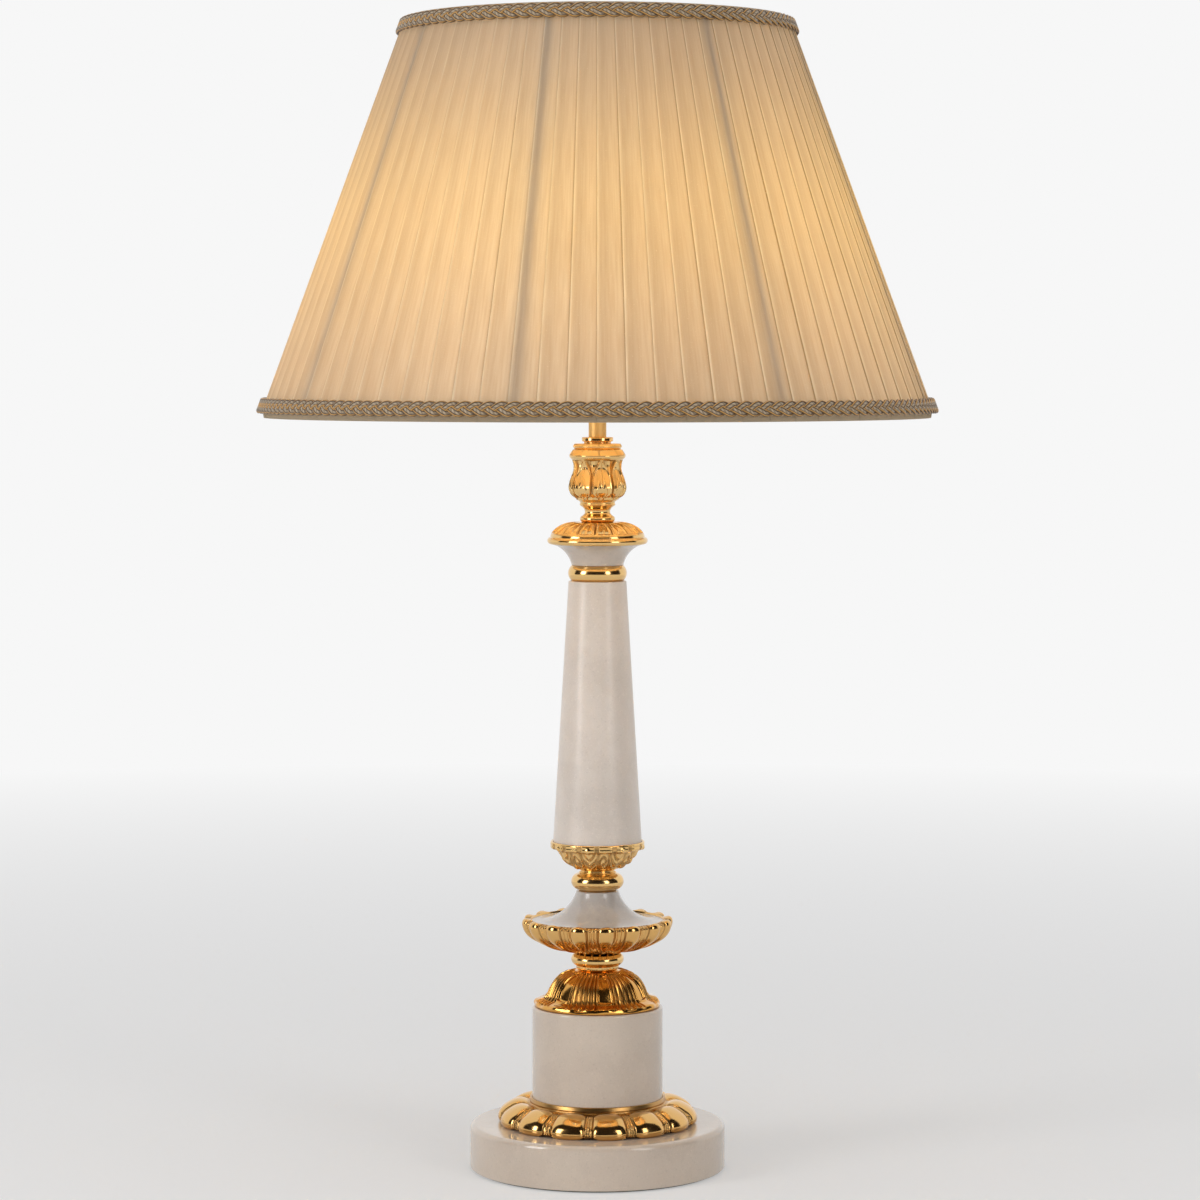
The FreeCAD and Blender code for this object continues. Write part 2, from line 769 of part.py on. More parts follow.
def make_leaf_cup(seats):
    """A small cup of leaves under the column, which stands in its rim."""
    foot = size("cup_foot_radius")
    foot_top = size("cup_foot_height")
    throat = size("cup_throat_radius")
    throat_height = size("cup_throat_height")
    pocket = size("column_foot_radius + seat_clearance")
    rim = pocket + size("cup_rim_wall")
    top = size("cup_height")
    levels = [(foot, 0, 0.1), (foot, foot_top, 0.1)]
    for share in (0.15, 0.4, 0.7, 1.0):
        levels.append((foot + (throat - foot) * math.sqrt(share),
                       foot_top + (throat_height - foot_top) * share, math.sqrt(share)))
    levels.append((rim, size("cup_rim_height"), 0.3))
    levels.append((rim, top, 0.3))
    solid = lobed_casting("cup", levels)
    solid = solid.cut(band(0, pocket, size("cup_floor"), top + 1))
    solid = solid.cut(band(0, size(ROD_HOLE), -1, top))
    casting("leaf_cup", seats["leaf_cup"], solid)


def make_column(seats):
    body = turned("column", seats["column"], [
        (STONE_HOLE, "0"),
        ("column_foot_radius", "0"),
        ("column_top_radius", "column_height"),
        (STONE_HOLE, "column_height"),
    ])
    round_edges(body, "column_edge", [("column_top_radius", "column_height")])


def make_capital(seats):
    turned("capital", seats["capital"], [
        (STONE_HOLE, "0"),
        ("capital_foot_radius", "0"),
        ("capital_top_radius", "capital_height", "capital_hollow_radius", "capital_hollow_height"),
        (STONE_HOLE, "capital_height"),
    ])


def make_petal_cap(seats):
    """A petalled cap with a half-round bead at its rim and a flat top for the tulip."""
    bead = size("cap_bead_radius")
    bead_height = size("cap_bead_height")
    core = size("cap_rim_radius") - bead
    top_radius = size("cap_top_radius")
    dome = size("cap_dome_radius")
    top = size("cap_height")
    levels = [(dome, bead_height, 1)]
    for radius, height in quarter(top_radius, dome, size("cap_dome_foot"), top, 4):
        levels.append((radius, height, 0.1 + 0.9 * (radius - top_radius) / (dome - top_radius)))
    solid = lobed_casting("cap", levels).fuse(band(0, core, 0, size("cap_dome_foot")))
    solid = solid.fuse(Part.makeTorus(core, bead, FreeCAD.Vector(0, 0, bead_height)))
    solid = solid.cut(band(0, size(ROD_HOLE), -1, top + 1))
    casting("petal_cap", seats["petal_cap"], solid)


def make_tulip(seats):
    """A tulip of leaves on a turned foot, with a turned lip."""
    foot = size("tulip_foot_radius")
    foot_top = size("tulip_foot_height")
    neck = (size("tulip_neck_radius"), size("tulip_neck_height"))
    step = size("tulip_step_radius")
    step_low = size("tulip_step_low")
    step_high = size("tulip_step_high")
    bowl = (size("tulip_bowl_radius"), size("tulip_bowl_height"))
    waist = (size("tulip_waist_radius"), size("tulip_waist_height"))
    lip = (size("tulip_lip_radius"), size("tulip_lip_height"))
    top = size("tulip_height")
    bead = foot_top / 2
    stalk = [(0, 0)] + quarter(foot - bead, foot, bead, 0, 4)[::-1]
    stalk += quarter(foot - bead, foot, bead, foot_top, 4)[1:]
    stalk += eased((foot - bead, foot_top), neck, 2) + eased(neck, (step, step_low), 3)
    stalk += [(step, step_high), (0, step_high)]
    solid = spun(stalk)
    levels = [(radius, height, (radius - step) / (bowl[0] - step))
              for radius, height in reversed(quarter(step, bowl[0], bowl[1], step_high, 3))]
    levels[0] = (neck[0], (step_low + step_high) / 2, 0.1)
    levels += [(radius, height, 0.9) for radius, height in eased(bowl, waist, 3)]
    levels += [(radius, height, 0.5) for radius, height in eased(waist, lip, 2)]
    levels.append((size("tulip_top_radius"), top, 0.1))
    solid = solid.fuse(lobed_casting("tulip", levels))
    solid = solid.cut(band(0, size(ROD_HOLE), -1, top + 1))
    casting("tulip", seats["tulip"], solid)


def make_discs(seats):
    """The two turned discs and the tube between the tulip and the lampholder."""
    turned("tulip_disc", seats["tulip_disc"], [
        (ROD_HOLE, "0"),
        ("tulip_disc_edge", "0"),
        ("tulip_disc_edge", "tulip_disc_height", "tulip_disc_radius", "tulip_disc_height / 2"),
        (ROD_HOLE, "tulip_disc_height"),
    ])
    turned("top_disc", seats["top_disc"], [
        (ROD_HOLE, "0"),
        ("top_disc_foot_radius", "0"),
        ("top_disc_foot_radius", "top_disc_foot_height"),
        ("top_disc_foot_radius", "top_disc_height", "top_disc_radius",
         "(top_disc_foot_height + top_disc_height) / 2"),
        (ROD_HOLE, "top_disc_height"),
    ])
    turned("stem_tube", seats["stem_tube"], [
        (ROD_HOLE, "0"),
        ("stem_radius", "0"),
        ("stem_radius", "stem_height"),
        (ROD_HOLE, "stem_height"),
    ])


# Lampholder with its shade rings

def make_lampholder(seats):
    """The lampholder: a cap on the rod, a threaded shell, a ceramic insert with its contacts."""
    turned("holder_cap", seats["holder_cap"], [
        ("rod_radius", "0"),
        ("holder_neck_radius", "0"),
        ("holder_neck_radius", "holder_neck_height"),
        ("holder_radius", "holder_flare_height", "holder_flare_radius", "holder_flare_middle"),
        ("holder_radius", "holder_cap_height"),
        (HOLDER_BORE, "holder_cap_height"),
        (HOLDER_BORE, "holder_shoulder_height"),
        ("holder_shoulder_radius", "holder_shoulder_height"),
        ("holder_neck_radius - holder_wall", "holder_floor_height"),
        ("rod_radius", "holder_floor_height"),
    ])
    mouth = SOCKET_RADIUS + " + screw_shell_wall + seat_clearance"
    turned("holder_shell", seats["holder_shell"], [
        (HOLDER_BORE, "0"),
        ("holder_radius", "0"),
        ("holder_radius", "holder_shell_height"),
        (mouth, "holder_shell_height"),
        (mouth, "holder_shell_height - holder_wall"),
        (HOLDER_BORE, "holder_shell_height - holder_wall"),
    ])
    insert_seat = seats["holder_cap"] + " + holder_shoulder_height"
    insert_height = "holder_cap_height - holder_shoulder_height + holder_shell_height - holder_wall"
    cavity = SOCKET_RADIUS + " + screw_shell_wall"
    turned("holder_insert", insert_seat, [
        ("0", "0"),
        (HOLDER_BORE + " - seat_clearance", "0"),
        (HOLDER_BORE + " - seat_clearance", insert_height),
        (cavity, insert_height),
        (cavity, "insert_floor"),
        ("0", "insert_floor"),
    ])
    socket_seat = insert_seat + " + insert_floor"
    turned("screw_shell", socket_seat, [
        ("screw_shell_hole", "0"),
        (cavity, "0"),
        (cavity, "screw_shell_height"),
        (SOCKET_RADIUS, "screw_shell_height"),
        (SOCKET_RADIUS, "screw_shell_wall"),
        ("screw_shell_hole", "screw_shell_wall"),
    ])
    bend = "tongue_foot - tongue_length"
    padded("contact_tongue", socket_seat, "XZ_Plane", [
        ("-tongue_length", "0"),
        (bend, "0"),
        ("-tongue_land", "tongue_rise - tongue_thickness"),
        ("tongue_land", "tongue_rise - tongue_thickness"),
        ("tongue_land", "tongue_rise"),
        ("-tongue_land", "tongue_rise"),
        (bend, "tongue_thickness"),
        ("-tongue_length", "tongue_thickness"),
    ], "tongue_width", both_ways=True)
    screws = []
    for side in ("left", "right"):
        screw = doc.addObject("Part::Cylinder", side + "_terminal_screw")
        bind(screw, "Radius", "terminal_radius")
        bind(screw, "Height", "terminal_height")
        bind(screw, "Placement.Base.x", ("-" if side == "left" else "") + "terminal_spread")
        bind(screw, "Placement.Base.z", insert_seat + " - terminal_height")
        screws.append(screw)
    group = keep(doc.addObject("Part::Compound", "terminal_screws"), "terminal_screws")
    group.Links = screws
    return socket_seat


def make_shade_ring(label, seat, height, bore):
    """A threaded ring with finger grips that holds the shade's fitter on the lampholder."""
    body = turned(label, seat, [
        (bore, "0"),
        ("shade_ring_radius", "0"),
        ("shade_ring_radius", height),
        (bore, height),
    ])
    grip = new_sketch(body, label + "_grip", "XY_Plane")
    bind(grip, "AttachmentOffset.Base.z", height)
    add_circle(grip, "shade_ring_grip_radius", "shade_ring_radius + shade_ring_grip_radius / 2", "0")
    repeat_round_axis(body, cut_pocket(body, grip, height), "shade_ring_grips")


# Bulb

def make_bulb(seat):
    """A pear-shaped screw bulb, seated on the contact tongue."""
    turned("bulb_contact", seat, [
        ("0", "0"),
        ("bulb_tip_foot_radius", "0"),
        ("bulb_tip_radius", "bulb_tip_height"),
        ("0", "bulb_tip_height"),
    ])
    turned("bulb_insulator", seat, [
        ("0", "bulb_tip_height"),
        ("bulb_tip_radius", "bulb_tip_height"),
        (CAP_BORE, "bulb_insulator_height"),
        (CAP_BORE, "bulb_insulator_height + bulb_insulator_depth"),
        ("0", "bulb_insulator_height + bulb_insulator_depth"),
    ])
    turned("bulb_cap", seat, [
        (CAP_BORE, "bulb_insulator_height"),
        ("bulb_cap_radius", "bulb_insulator_height"),
        ("bulb_cap_radius", CAP_TOP),
        (CAP_BORE, CAP_TOP),
    ])
    seal = CAP_TOP + " - bulb_seal_depth"
    turned("bulb_glass", seat, [
        (CAP_BORE, seal),
        (CAP_BORE, "bulb_neck_height"),
        ("bulb_shoulder_radius", GLOBE_FOOT % ("0", "0"), "bulb_throat_radius",
         "bulb_throat_height"),
        ("0", "bulb_middle_height + bulb_radius", "bulb_radius", "bulb_middle_height"),
        ("0", "bulb_middle_height + bulb_radius - bulb_wall"),
        ("bulb_shoulder_radius - bulb_wall", GLOBE_FOOT % ("bulb_wall", "bulb_wall"),
         "bulb_radius - bulb_wall", "bulb_middle_height"),
        (CAP_BORE + " - bulb_wall", "bulb_neck_height", "bulb_throat_radius - bulb_wall",
         "bulb_throat_height"),
        (CAP_BORE + " - bulb_wall", seal),
    ])
    mount_top = "%s + mount_height" % seal
    turned("bulb_mount", seat, [
        ("0", seal),
        (CAP_BORE + " - bulb_wall", seal),
        (CAP_BORE + " - bulb_wall", seal + " + mount_foot"),
        ("mount_radius", seal + " + 3 * mount_foot"),
        ("mount_radius", mount_top),
        ("0", mount_top),
    ])
    make_filament(seat, mount_top)


def make_filament(seat, mount_top):
    """Two lead wires that spread from the glass mount and carry the filament between them. They
    start a tenth of their length below the mount's top, where they are cut level with it."""
    foot = FreeCAD.Vector(size("filament_foot_reach"), 0, size(mount_top))
    top = FreeCAD.Vector(size("filament_reach"), 0, size(mount_top) + size("filament_lead"))
    wires = []
    for side in (-1, 1):
        start = FreeCAD.Vector(side * foot.x, 0, foot.z)
        along = FreeCAD.Vector(side * top.x, 0, top.z) - start
        wires.append(Part.makeCylinder(size("filament_radius"), 1.1 * along.Length,
                                       start - along * 0.1, along))
    coil = Part.makeCylinder(size("filament_radius"), 2 * top.x, FreeCAD.Vector(-top.x, 0, top.z),
                             FreeCAD.Vector(1, 0, 0))
    mount = band(0, 2 * size("mount_radius"), foot.z - size("filament_lead"), foot.z)
    casting("bulb_filament", seat, coil.fuse(wires).cut(mount))


# Shade: wire frame, cloth and braid

def envelope(height):
    """The radius of the shade's pleat crests at a height above its foot."""
    return "cover_knee_radius - %s * (%s - cover_knee_height)" % (COVER_SLOPE, height)


def make_fitter(seat):
    return turned("fitter_ring", seat, [
        ("holder_radius + fitter_clearance", "0"),
        ("fitter_reach", "0"),
        ("fitter_reach", "fitter_thickness"),
        ("holder_radius + fitter_clearance", "fitter_thickness"),
    ])


def make_hoop(label, seat, radius, height):
    """A hoop of the shade's frame. Eight flats round its wire keep the hoop light in facets and
    give it real faces to rest on the hems."""
    corners = []
    for across, up in ((1, -FLAT), (1, FLAT), (FLAT, 1), (-FLAT, 1),
                       (-1, FLAT), (-1, -FLAT), (-FLAT, -1), (FLAT, -1)):
        corners.append(("%s + (%.9f) * wire_radius" % (radius, across),
                        "%s + (%.9f) * wire_radius" % (height, up)))
    return turned(label, seat, corners)


def make_spokes(label, count, first, inner, outer, welded_to):
    """Straight wires spread round the axis, each from an inner to an outer (radius, height), and cut
    where they are welded to the hoops."""
    wires = []
    start_radius, start_height = size(inner[0]), size(inner[1])
    end_radius, end_height = size(outer[0]), size(outer[1])
    number = int(size(count))
    for index in range(number):
        angle = FRONT_ANGLE + size(first) + index * 360.0 / number
        start = polar(start_radius, angle, start_height)
        along = polar(end_radius, angle, end_height) - start
        wire = doc.addObject("Part::Cylinder", "%s_wire_%d" % (label, index + 1))
        bind(wire, "Radius", "wire_radius")
        bind(wire, "Height", "sqrt((%s - (%s))^2 + (%s - (%s))^2)" % (
            outer[0], inner[0], outer[1], inner[1]))
        turn = FreeCAD.Rotation(FreeCAD.Vector(0, 0, 1), along)
        wire.Placement = FreeCAD.Placement(start, turn)
        wires.append(wire)
    group = doc.addObject("Part::Compound", label + "_whole")
    group.Links = wires
    hoops = doc.addObject("Part::Compound", label + "_welds")
    hoops.Links = welded_to
    trimmed = keep(doc.addObject("Part::Cut", label), label)
    trimmed.Base = group
    trimmed.Tool = hoops


def pleat_wire(radius, height):
    """One level of the pleated cover: each knife pleat rises slowly to its crest and drops back. The
    pleats are narrower and shallower where the cover is smaller, as the gathered cloth is."""
    pleats = int(size("cover_pleats"))
    pitch = 360.0 / pleats
    valley = radius * (1 - size("pleat_depth / cover_knee_radius"))
    points = []
    for index in range(pleats):
        points.append(polar(valley, index * pitch, height))
        points.append(polar(radius, (index + 1 - size("pleat_return")) * pitch, height))
    return Part.makePolygon(points + points[:1])


def inner_wire(radius, height):
    """One level of the cover's inner face: a flat behind each pleat, none nearer than the radius."""
    pleats = int(size("cover_pleats"))
    pitch = 360.0 / pleats
    corner = radius / math.cos(math.radians(pitch / 2))
    points = [polar(corner, (index - size("pleat_return")) * pitch, height)
              for index in range(pleats)]
    return Part.makePolygon(points + points[:1])


def make_cover(seat, lining_foot, lining_top):
    """The pleated cover, with a hem turned in under the bottom hoop and over the top hoop."""
    foot = size(HEM_RADIUS)
    knee = size("cover_knee_radius")
    knee_height = size("cover_knee_height")
    top = size("cover_top_radius")
    height = size("shade_height")
    wall = size(COVER_WALL)
    hem = size("hem_thickness")
    outside = Part.makeLoft([pleat_wire(foot, 0), pleat_wire(knee, knee_height),
                             pleat_wire(top, height)], True, True)
    slope = (knee - top) / (height - knee_height)
    inside = Part.makeLoft([inner_wire(foot - wall, hem), inner_wire(knee - wall, knee_height),
                            inner_wire(top - wall + slope * hem, height - hem)], True, True)
    mouths = [band(0, lining_foot, -1, knee_height), band(0, lining_top, knee_height, height + 1)]
    casting("shade_cover", seat, outside.cut([inside] + mouths))


def make_shade(fitter_seat):
    """The shade, drawn from the foot of its cover and hung from the fitter ring."""
    seat = fitter_seat + " - shade_drop"
    fitter = make_fitter(fitter_seat)
    wire_top = "shade_height - hem_thickness - wire_radius"
    lean = "sqrt(1 + (%s)^2)" % COVER_SLOPE
    top_wire = "%s - (%s) - %.9f * wire_radius * %s" % (envelope("(" + wire_top + ")"), COVER_WALL,
                                                        CORNER, lean)
    bottom = make_hoop("shade_bottom_hoop", seat, BOTTOM_WIRE, WIRE_HEIGHT)
    top = make_hoop("shade_top_hoop", seat, top_wire, wire_top)
    hoop_height = "%s + %s" % (seat, WIRE_HEIGHT)
    make_spokes("shade_struts", "shade_struts", "first_strut", (BOTTOM_WIRE, hoop_height),
                (top_wire, "%s + %s" % (seat, wire_top)), [bottom, top])
    make_spokes("fitter_arms", "fitter_arms", "first_arm",
                ("arm_root_radius", fitter_seat + " + fitter_thickness / 2"),
                (BOTTOM_WIRE, hoop_height), [fitter, bottom])
    strut_slope = "((%s) - (%s)) / (%s - (%s))" % (BOTTOM_WIRE, top_wire, wire_top, WIRE_HEIGHT)
    inside = "wire_radius * %s + lining_gap" % lean

    def lining_radius(height):
        return "%s - %s * (%s - (%s)) - (%s)" % (BOTTOM_WIRE, strut_slope, height, WIRE_HEIGHT,
                                                 inside)

    lining_top = "shade_height - hem_thickness"
    turned("shade_lining", seat, [
        (lining_radius("lining_lift") + " - lining_thickness", "lining_lift"),
        (lining_radius("lining_lift"), "lining_lift"),
        (lining_radius("(" + lining_top + ")"), lining_top),
        (lining_radius("(" + lining_top + ")") + " - lining_thickness", lining_top),
    ])
    make_cover(seat, size(lining_radius("lining_lift") + " - lining_thickness"),
               size(lining_radius("(" + lining_top + ")") + " - lining_thickness"))
    make_braid("bottom_braid", seat, "bottom_braid_lift")
    make_braid("top_braid", seat, "(shade_height - top_braid_drop - braid_width)")


def make_braid(label, seat, low):
    """A plain ring with the crowned section of the plaited braid, glued round the pleats."""
    high = "(%s + braid_width)" % low
    corners = [(envelope(low), low)]
    for share, crown in (("0.2", "0.8"), ("0.5", "1"), ("0.8", "0.8")):
        height = "(%s + %s * braid_width)" % (low, share)
        corners.append(("%s + %s * braid_thickness" % (envelope(height), crown), height))
    corners.append((envelope(high), high))
    turned(label, seat, corners)


def check_document():
    doc.recompute()
    for thing in doc.Objects:
        if "Invalid" in thing.State or "Error" in thing.State:
            raise RuntimeError("%s failed: %s" % (thing.Name, thing.State))
    for piece in pieces:
        if piece.Shape.isNull() or not piece.Shape.isValid() or not piece.Shape.Solids:
            raise RuntimeError("%s has no valid solid" % piece.Label)


def export_pieces():
    os.makedirs("parts", exist_ok=True)
    for piece in pieces:
        piece.Shape.exportStep("parts/%s.step" % piece.Label)
        print("%-20s solids %d, faces %4d, %.1f cm3" % (piece.Label, len(piece.Shape.Solids),
              len(piece.Shape.Faces), piece.Shape.Volume / 1000))


def make_lamp():
    seats = stack_seats()
    make_felt(seats)
    make_base(seats)
    make_cord_bush()
    make_clamp(seats)
    make_gadroon_ring(seats)
    make_drum(seats)
    make_dome(seats)
    make_collar("lower_collar", "lower_collar", seats["lower_collar"])
    make_dish(seats)
    make_spool(seats)
    make_collar("mid_collar", "mid_collar", seats["mid_collar"])
    make_leaf_cup(seats)
    make_column(seats)
    make_collar("upper_collar", "upper_collar", seats["upper_collar"])
    make_capital(seats)
    make_petal_cap(seats)
    make_tulip(seats)
    make_discs(seats)
    socket_seat = make_lampholder(seats)
    lower_ring_seat = seats["holder_shell"] + " + lower_ring_lift"
    fitter_seat = lower_ring_seat + " + lower_ring_height"
    make_shade_ring("lower_shade_ring", lower_ring_seat, "lower_ring_height", "holder_radius")
    make_shade_ring("upper_shade_ring", fitter_seat + " + fitter_thickness", "upper_ring_height",
                    "holder_radius + turning_clearance")
    make_bulb(socket_seat + " + tongue_rise")
    make_shade(fitter_seat)


fill_sheet()
make_lamp()
check_document()
export_pieces()
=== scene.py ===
"""A column table lamp: tapered alabaster column, gilt castings and a lit, pleated shade.

Lengths are in millimetres, as on a maker's drawing, until a surface goes into its mesh. Those of
the camera, the lights, the stage and the materials are in metres. Angles are in degrees from the
front, and they grow towards the lamp's right side as seen from the front.
"""

import math

import bpy
import numpy as np
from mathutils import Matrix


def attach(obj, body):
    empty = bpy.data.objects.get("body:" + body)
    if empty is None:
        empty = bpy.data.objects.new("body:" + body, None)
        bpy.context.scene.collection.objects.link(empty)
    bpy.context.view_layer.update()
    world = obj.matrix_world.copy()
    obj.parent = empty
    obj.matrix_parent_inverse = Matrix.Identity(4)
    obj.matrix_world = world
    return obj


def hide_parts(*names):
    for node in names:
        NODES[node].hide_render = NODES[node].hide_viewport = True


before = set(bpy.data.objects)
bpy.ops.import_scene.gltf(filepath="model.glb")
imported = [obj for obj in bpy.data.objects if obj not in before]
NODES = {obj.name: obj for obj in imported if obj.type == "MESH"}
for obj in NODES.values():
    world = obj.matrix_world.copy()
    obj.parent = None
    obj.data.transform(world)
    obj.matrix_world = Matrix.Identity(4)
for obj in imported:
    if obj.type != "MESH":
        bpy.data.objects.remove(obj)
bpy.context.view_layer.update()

MM = 0.001

# Radii of the bore for the rod, in stones and in gilt pieces
STONE_BORE = 5.6
GILT_BORE = 5.4

# Heights of the cord's way in and of the seats between the pieces, from the table up
CORD_INLET = 9.5
BASE_TOP = 30.2
DRUM_FOOT = 40.0
RING_TOP = 47.9
DRUM_TOP = 108.6
DOME_TOP = 134.0
DISH_FOOT = 145.0
SPOOL_FOOT = 158.0
DISH_TOP = 167.5
SPOOL_TOP = 186.5
CUP_FOOT = 198.8
COLUMN_FOOT = 217.0
CUP_TOP = 220.0
COLUMN_TOP = 395.7
CAPITAL_FOOT = 406.4
CAPITAL_TOP = 420.5
CAP_TOP = 435.4
TULIP_TOP = 484.6
DISC_SEAM = 488.5
STEM_FOOT = 492.8
STEM_TOP = 512.0

# The cover's crests as (radius, height), from the bottom up, and its pleats
HEM = (224.9, 506.3)
KNEE = (225.8, 511.8)
CROWN = (130.4, 775.5)
KNEE_SHARE = 0.02
PLEATS = 75
CLOTH_WALL = 1.75

# The frame's struts in degrees, and in metres their painted shadows, the painted glow and the bulb
FIRST_STRUT = -13.5
STRUT_PITCH = 45.0
STRUT_RADIUS = 0.2
STRUT_SHADOW = 0.0048
GLOW_HEIGHT = 0.648
GLOW_REACH = 0.078
BULB_HEIGHT = 0.6146


# Objects and surfaces


def linked(name, data):
    """A new object in the scene."""
    thing = bpy.data.objects.new(name, data)
    bpy.context.collection.objects.link(thing)
    return thing


def faceted(name, points, faces):
    """A mesh from points in metres and, for each face, the numbers of its points."""
    mesh = bpy.data.meshes.new(name)
    mesh.from_pydata(points.reshape(-1, 3).tolist(), [], faces)
    return linked(name, mesh)


def mesh_from_grid(name, points, marks=None):
    """A closed surface from a grid of points: each point joins its neighbours around and along,
    and the last row and column join the first. Marks are numbers kept at each point."""
    around, along = points.shape[:2]
    here = np.arange(around * along, dtype=np.int32).reshape(around, along)
    right = np.roll(here, -1, axis=0)
    up = np.roll(here, -1, axis=1)
    corner = np.roll(right, -1, axis=1)
    faces = np.stack([here, right, corner, up], axis=-1).reshape(-1, 4)
    mesh = bpy.data.meshes.new(name)
    mesh.vertices.add(around * along)
    mesh.vertices.foreach_set("co", (points * MM).astype(np.float32).ravel())
    mesh.loops.add(faces.size)
    mesh.loops.foreach_set("vertex_index", faces.ravel())
    mesh.polygons.add(len(faces))
    mesh.polygons.foreach_set("loop_start", np.arange(len(faces), dtype=np.int32) * 4)
    mesh.polygons.foreach_set("use_smooth", np.ones(len(faces), bool))
    mesh.update(calc_edges=True)
    for label, values in (marks or {}).items():
        values = np.asarray(values, np.float32)
        kind, field = ("FLOAT_VECTOR", "vector") if values.ndim == 3 else ("FLOAT", "value")
        mesh.attributes.new(label, kind, "POINT").data.foreach_set(field, values.ravel())
    return linked(name, mesh)


def paint(piece, material):
    """Gives a piece one material."""
    piece.data.materials.clear()
    piece.data.materials.append(material)


def dress(piece, material, slot, body, *nodes):
    """Gives a piece its finish and the body it moves with, and hides the nodes that it stands for.
    """
    paint(piece, material)
    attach(piece, body)
    if nodes:
        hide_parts(*nodes)


def rounded(corners):
    """A run of (radius, height, fillet) corners as points: each corner with a fillet becomes an
    arc that touches both of its sides, in steps of 13 degrees at most."""
    spots = np.array([corner[:2] for corner in corners], float)
    run = []
    for index, (_, _, fillet) in enumerate(corners):
        corner = spots[index]
        if fillet <= 0:
            run.append(corner[None, :])
            continue
        back = spots[index - 1] - corner
        ahead = spots[(index + 1) % len(spots)] - corner
        back = back / np.hypot(*back)
        ahead = ahead / np.hypot(*ahead)
        half = math.acos(np.clip(back @ ahead, -1, 1)) / 2
        middle = (back + ahead) / np.hypot(*(back + ahead))
        centre = corner + middle * fillet / math.sin(half)
        start = corner + back * fillet / math.tan(half) - centre
        end = corner + ahead * fillet / math.tan(half) - centre
        first = math.atan2(start[1], start[0])
        sweep = (math.atan2(end[1], end[0]) - first + math.pi) % (2 * math.pi) - math.pi
        count = max(3, int(math.ceil(abs(sweep) / math.radians(13))))
        turn = first + sweep * np.linspace(0, 1, count + 1)
        run.append(centre + fillet * np.stack([np.cos(turn), np.sin(turn)], axis=1))
    return np.concatenate(run)


def flowing(knots, count):
    """A smooth open run through (radius, height) knots: a centripetal cubic spline, with count
    points for each span."""
    knots = np.array(knots, float)
    padded = np.vstack([2 * knots[0] - knots[1], knots, 2 * knots[-1] - knots[-2]])
    gaps = np.sqrt(np.hypot(*np.diff(padded, axis=0).T))
    spans = []
    for index in range(len(knots) - 1):
        a, b, c, d = padded[index:index + 4]
        before, own, after = gaps[index:index + 3]
        leave = (c - b) + own * ((b - a) / before - (c - a) / (before + own))
        arrive = (c - b) + own * ((d - c) / after - (d - b) / (own + after))
        t = np.linspace(0, 1, count, endpoint=False)[:, None]
        spans.append((2 * t ** 3 - 3 * t ** 2 + 1) * b + (t ** 3 - 2 * t ** 2 + t) * leave
                     + (3 * t ** 2 - 2 * t ** 3) * c + (t ** 3 - t ** 2) * arrive)
    return np.vstack(spans + [knots[-1:]])


def bowed(start, middle, end, count):
    """Points on the circle through three (radius, height) points, from the first to the last."""
    a, b, c = (np.array(point, float) for point in (start, middle, end))
    rows = 2 * np.array([b - a, c - a])
    centre = np.linalg.solve(rows, np.array([b @ b - a @ a, c @ c - a @ a]))
    first, through, last = (math.atan2(*(point - centre)[::-1]) for point in (a, b, c))
    sweep = (last - first) % (2 * math.pi)
    if (through - first) % (2 * math.pi) > sweep:
        sweep -= 2 * math.pi
    turn = first + sweep * np.linspace(0, 1, count)
    return centre + np.hypot(*(a - centre)) * np.stack([np.cos(turn), np.sin(turn)], axis=1)


def divided(run, step):
    """A closed outline with its long edges cut into equal steps, and a point kept close to each
    end of a long edge, so that the shading of a fillet doesn't spread over the flat beside it."""
    hold = 0.35
    ends = np.roll(run, -1, axis=0)
    lengths = np.hypot(*(ends - run).T)
    parts = []
    for start, end, length in zip(run, ends, lengths):
        if length < 1e-6:
            continue
        if length > 4 * hold and step > hold:
            stops = np.linspace(hold, length - hold, max(2, int(length / step) + 1))
            stops = np.concatenate([[0.0], stops])
        else:
            stops = np.linspace(0, length, max(1, int(math.ceil(length / step))), endpoint=False)
        parts.append(start + (end - start) * (stops / length)[:, None])
    return np.concatenate(parts)


def round_points(radius, angle, height):
    """Points round the lamp's axis: (r cos, r sin, z) from radii, angles in radians and heights."""
    radius, angle, height = np.broadcast_arrays(radius, angle, height)
    return np.stack([radius * np.cos(angle), radius * np.sin(angle), height], axis=-1)


def round_the_axis(outline, turn, shift=0.0):
    """Carries an outline of (radius, height) round the lamp's axis to each angle from the front.
    Shift moves its points along the outline's normal."""
    ahead = np.roll(outline, -1, axis=0) - np.roll(outline, 1, axis=0)
    ahead = ahead / np.maximum(np.hypot(*ahead.T), 1e-9)[:, None]
    normal = np.stack([ahead[:, 1], -ahead[:, 0]], axis=1)
    radius = outline[None, :, 0] + shift * normal[None, :, 0]
    height = outline[None, :, 1] + shift * normal[None, :, 1]
    return round_points(radius, np.radians(turn - 90.0)[:, None], height)


def anticlockwise(outline):
    """The outline in the order that makes its surface face outwards."""
    following = np.roll(outline, -1, axis=0)
    area = (outline[:, 0] * following[:, 1] - following[:, 0] * outline[:, 1]).sum()
    return outline if area > 0 else outline[::-1]


def turned(name, run, around=256, step=6.0):
    """A turned piece: a closed outline carried round the axis."""
    outline = anticlockwise(divided(np.asarray(run, float), step))
    turn = np.arange(around) * 360.0 / around
    return mesh_from_grid(name, round_the_axis(outline, turn))


